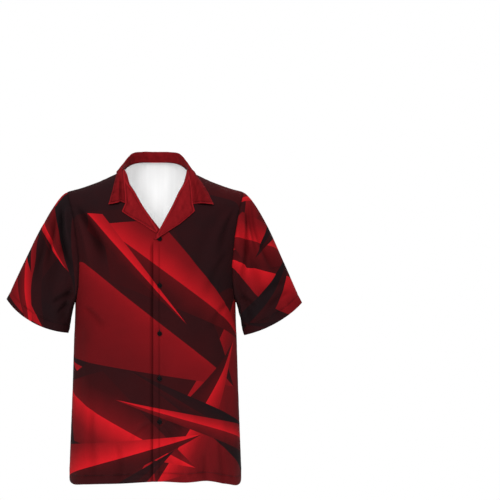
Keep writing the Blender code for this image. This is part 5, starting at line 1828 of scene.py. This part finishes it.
def sewn(line):
    """Centrelines of the stitches along a line of points and outward directions."""
    so_far = lengths(line[:, :3], 0)
    first = np.arange(STITCH_START, so_far[-1] - STITCH_LENGTH - STITCH_START, STITCH_PITCH)
    at = first[:, None] + STITCH_LENGTH * np.array(STITCH_STATIONS)
    both = np.stack([np.interp(at, so_far, line[:, part]) for part in range(6)], -1)
    rise = STITCH_RADIUS * np.array(STITCH_RISE)[None, :, None]
    return both[..., :3] + unit(both[..., 3:]) * rise


def body_lines():
    """The stitched lines of the body's hem: the upper front, the lower front and the back."""
    panels = ((LEFT, front_surface(LEFT)), (RIGHT, front_surface(RIGHT)), (LEFT, back_surface()))
    return [line_at(grid, inward, down[-1:] - down, HEM_TURN, side)
            for side, (grid, inward, _, down, _) in panels]


def sleeve_line(side):
    """The stitched line round a sleeve's hem."""
    grid, inward, along_arm, _ = sleeve_surface(side)
    return closed(line_at(grid, inward, along_arm[-1:] - along_arm, HEM_TURN, side), 0)


def edge_line(grid, inward, along_rib, side=LEFT):
    """The line of topstitches beside the free edge at the ends of a grid's ribs."""
    from_edge = along_rib[:, -1:] - along_rib
    return line_at(grid.swapaxes(0, 1), inward.swapaxes(0, 1), from_edge.T, TOPSTITCH, side)


def collar_line():
    """The stitched line along the collar: up one point's lower edge, round the neck and down again."""
    grid, inward, across, _, rest, _ = collar_surface()
    half = len(grid) // 2
    inner = np.flatnonzero(rest[:, 0] > TOPSTITCH)
    ends = []
    for rows, rib in ((slice(half, 0, -1), inner[0]), (slice(half, None), inner[-1])):
        line = line_at(grid[rows], inward[rows], rest[rows] + 0 * across[rows], TOPSTITCH)
        from_seam = across[rib]
        ends.append(line[(from_seam[-1] - from_seam > TOPSTITCH) & (from_seam > EDGE_START)])
    return np.concatenate([ends[0], edge_line(grid, inward, across)[inner], ends[1][::-1]])


def lapel_line(side):
    """The stitched line of a lapel, from its lower tip along its free edge to the corner."""
    grid, inward, _, along_rib, corner, _ = lapel_surface(side)
    wide = along_rib[:, -1] > FACING_EDGE + EDGE_START
    return edge_line(grid, inward, along_rib, side)[(np.arange(len(grid)) < corner - CORNER_RIBS) & wide]


RED_THREAD = plain_finish("thread_red", (0.300, 0.014, 0.020), 0.5)
SEWN = (
    ("shirt_hem_stitches", DARK_THREAD, "cloth_print", body_lines()),
    ("shirt_sleeve_stitches", DARK_THREAD, "cloth_print", (sleeve_line(LEFT), sleeve_line(RIGHT))),
    ("shirt_collar_stitches", RED_THREAD, "cloth_plain",
     (collar_line(), lapel_line(LEFT), lapel_line(RIGHT))),
)
for name, finish, slot, seams in SEWN:
    stitches = np.concatenate([sewn(line) for line in seams])
    thread = threads(name, stitches, STITCH_RADIUS * np.array(STITCH_SWELL), finish)
    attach(thread, "root")


# ================================================================ studio
# A pale paper floor that fades into white all round, soft light from the front, above and behind,
# and a camera at chest height.

CAMERA_PLACE = (0.0, -5.0, -0.25)
CAMERA_AIM = (0.2296, 0.0, -0.2017)
LENS = 148.0
FLOOR_Z = -0.95
FLOOR_REACH = 1.25      # half of the floor's side
FLOOR_FADES_FROM = 0.4  # it fades between these distances from its middle
FLOOR_FADES_TO = 1.2
LIGHT_AIM = (0.0, 0.0, -0.3)
AROUND_LIGHT = 0.22     # strength of the white all round, which the camera sees at 1


def make_floor():
    """A flat square of pale paper that fades away into the light round it."""
    material, place, shader = principled("floor_paper", {
        "Base Color": (0.95, 0.95, 0.95, 1), "Roughness": 0.9, "Specular IOR Level": 0.1,
        "Emission Color": WHITE_LIGHT, "Emission Strength": 0.25}, flat=False)
    level = stretched(place, (1.0, 1.0, 0.0))
    away = level.node("ShaderNodeVectorMath", {"operation": "LENGTH"}, {0: level}, "Value")
    feed(shader, "Alpha", away.node("ShaderNodeMapRange", {"interpolation_type": "SMOOTHSTEP"}, {
        0: away, 1: FLOOR_FADES_FROM, 2: FLOOR_FADES_TO, 3: 1.0, 4: 0.0}))
    mesh = bpy.data.meshes.new("floor")
    points = [(x * FLOOR_REACH, y * FLOOR_REACH, FLOOR_Z) for x, y in ((-1, -1), (1, -1), (1, 1), (-1, 1))]
    mesh.from_pydata(points, [], [(0, 1, 2, 3)])
    mesh.materials.append(material)
    return placed("floor", mesh)


make_floor()

Light = namedtuple("Light", "name x y z width height power")
LIGHTS = (
    Light("front_left", -1.9, -3.8, 2.3, 1.6, 1.6, 155),
    Light("front_right", 1.6, -4.3, 1.6, 1.6, 1.6, 80),
    Light("above", 0.3, 0.4, 3.4, 2.6, 2.0, 45),
    Light("behind", 0.6, 3.4, 2.8, 2.4, 2.0, 110),
)


def towards(place, aim):
    """The turn that points an object's -Z from a place at an aim."""
    return (Vector(aim) - Vector(place)).to_track_quat("-Z", "Y").to_euler()


for light in LIGHTS:
    lamp = bpy.data.lights.new(light.name, "AREA")
    lamp.shape = "RECTANGLE"
    lamp.size = light.width
    lamp.size_y = light.height
    lamp.energy = light.power
    thing = placed("light_" + light.name, lamp)
    thing.location = (light.x, light.y, light.z)
    thing.rotation_euler = towards(thing.location, LIGHT_AIM)
    thing.visible_glossy = False  # matt cloth shows no lamp, even where it is seen at a grazing angle

world = bpy.data.worlds.new("studio")
world.use_nodes = True
glow = world.node_tree.nodes["Background"]
glow.inputs["Color"].default_value = WHITE_LIGHT
seen = Socket(world.node_tree).node("ShaderNodeLightPath", {}, {}, "Is Camera Ray")
feed(glow, "Strength", seen * (1 - AROUND_LIGHT) + AROUND_LIGHT)
bpy.context.scene.world = world
bpy.context.scene.view_settings.view_transform = "Standard"

camera = bpy.data.cameras.new("camera")
camera.lens = LENS
camera.sensor_width = 36.0
camera_object = placed("camera", camera)
camera_object.location = CAMERA_PLACE
camera_object.rotation_euler = towards(CAMERA_PLACE, CAMERA_AIM)
bpy.context.scene.camera = camera_object
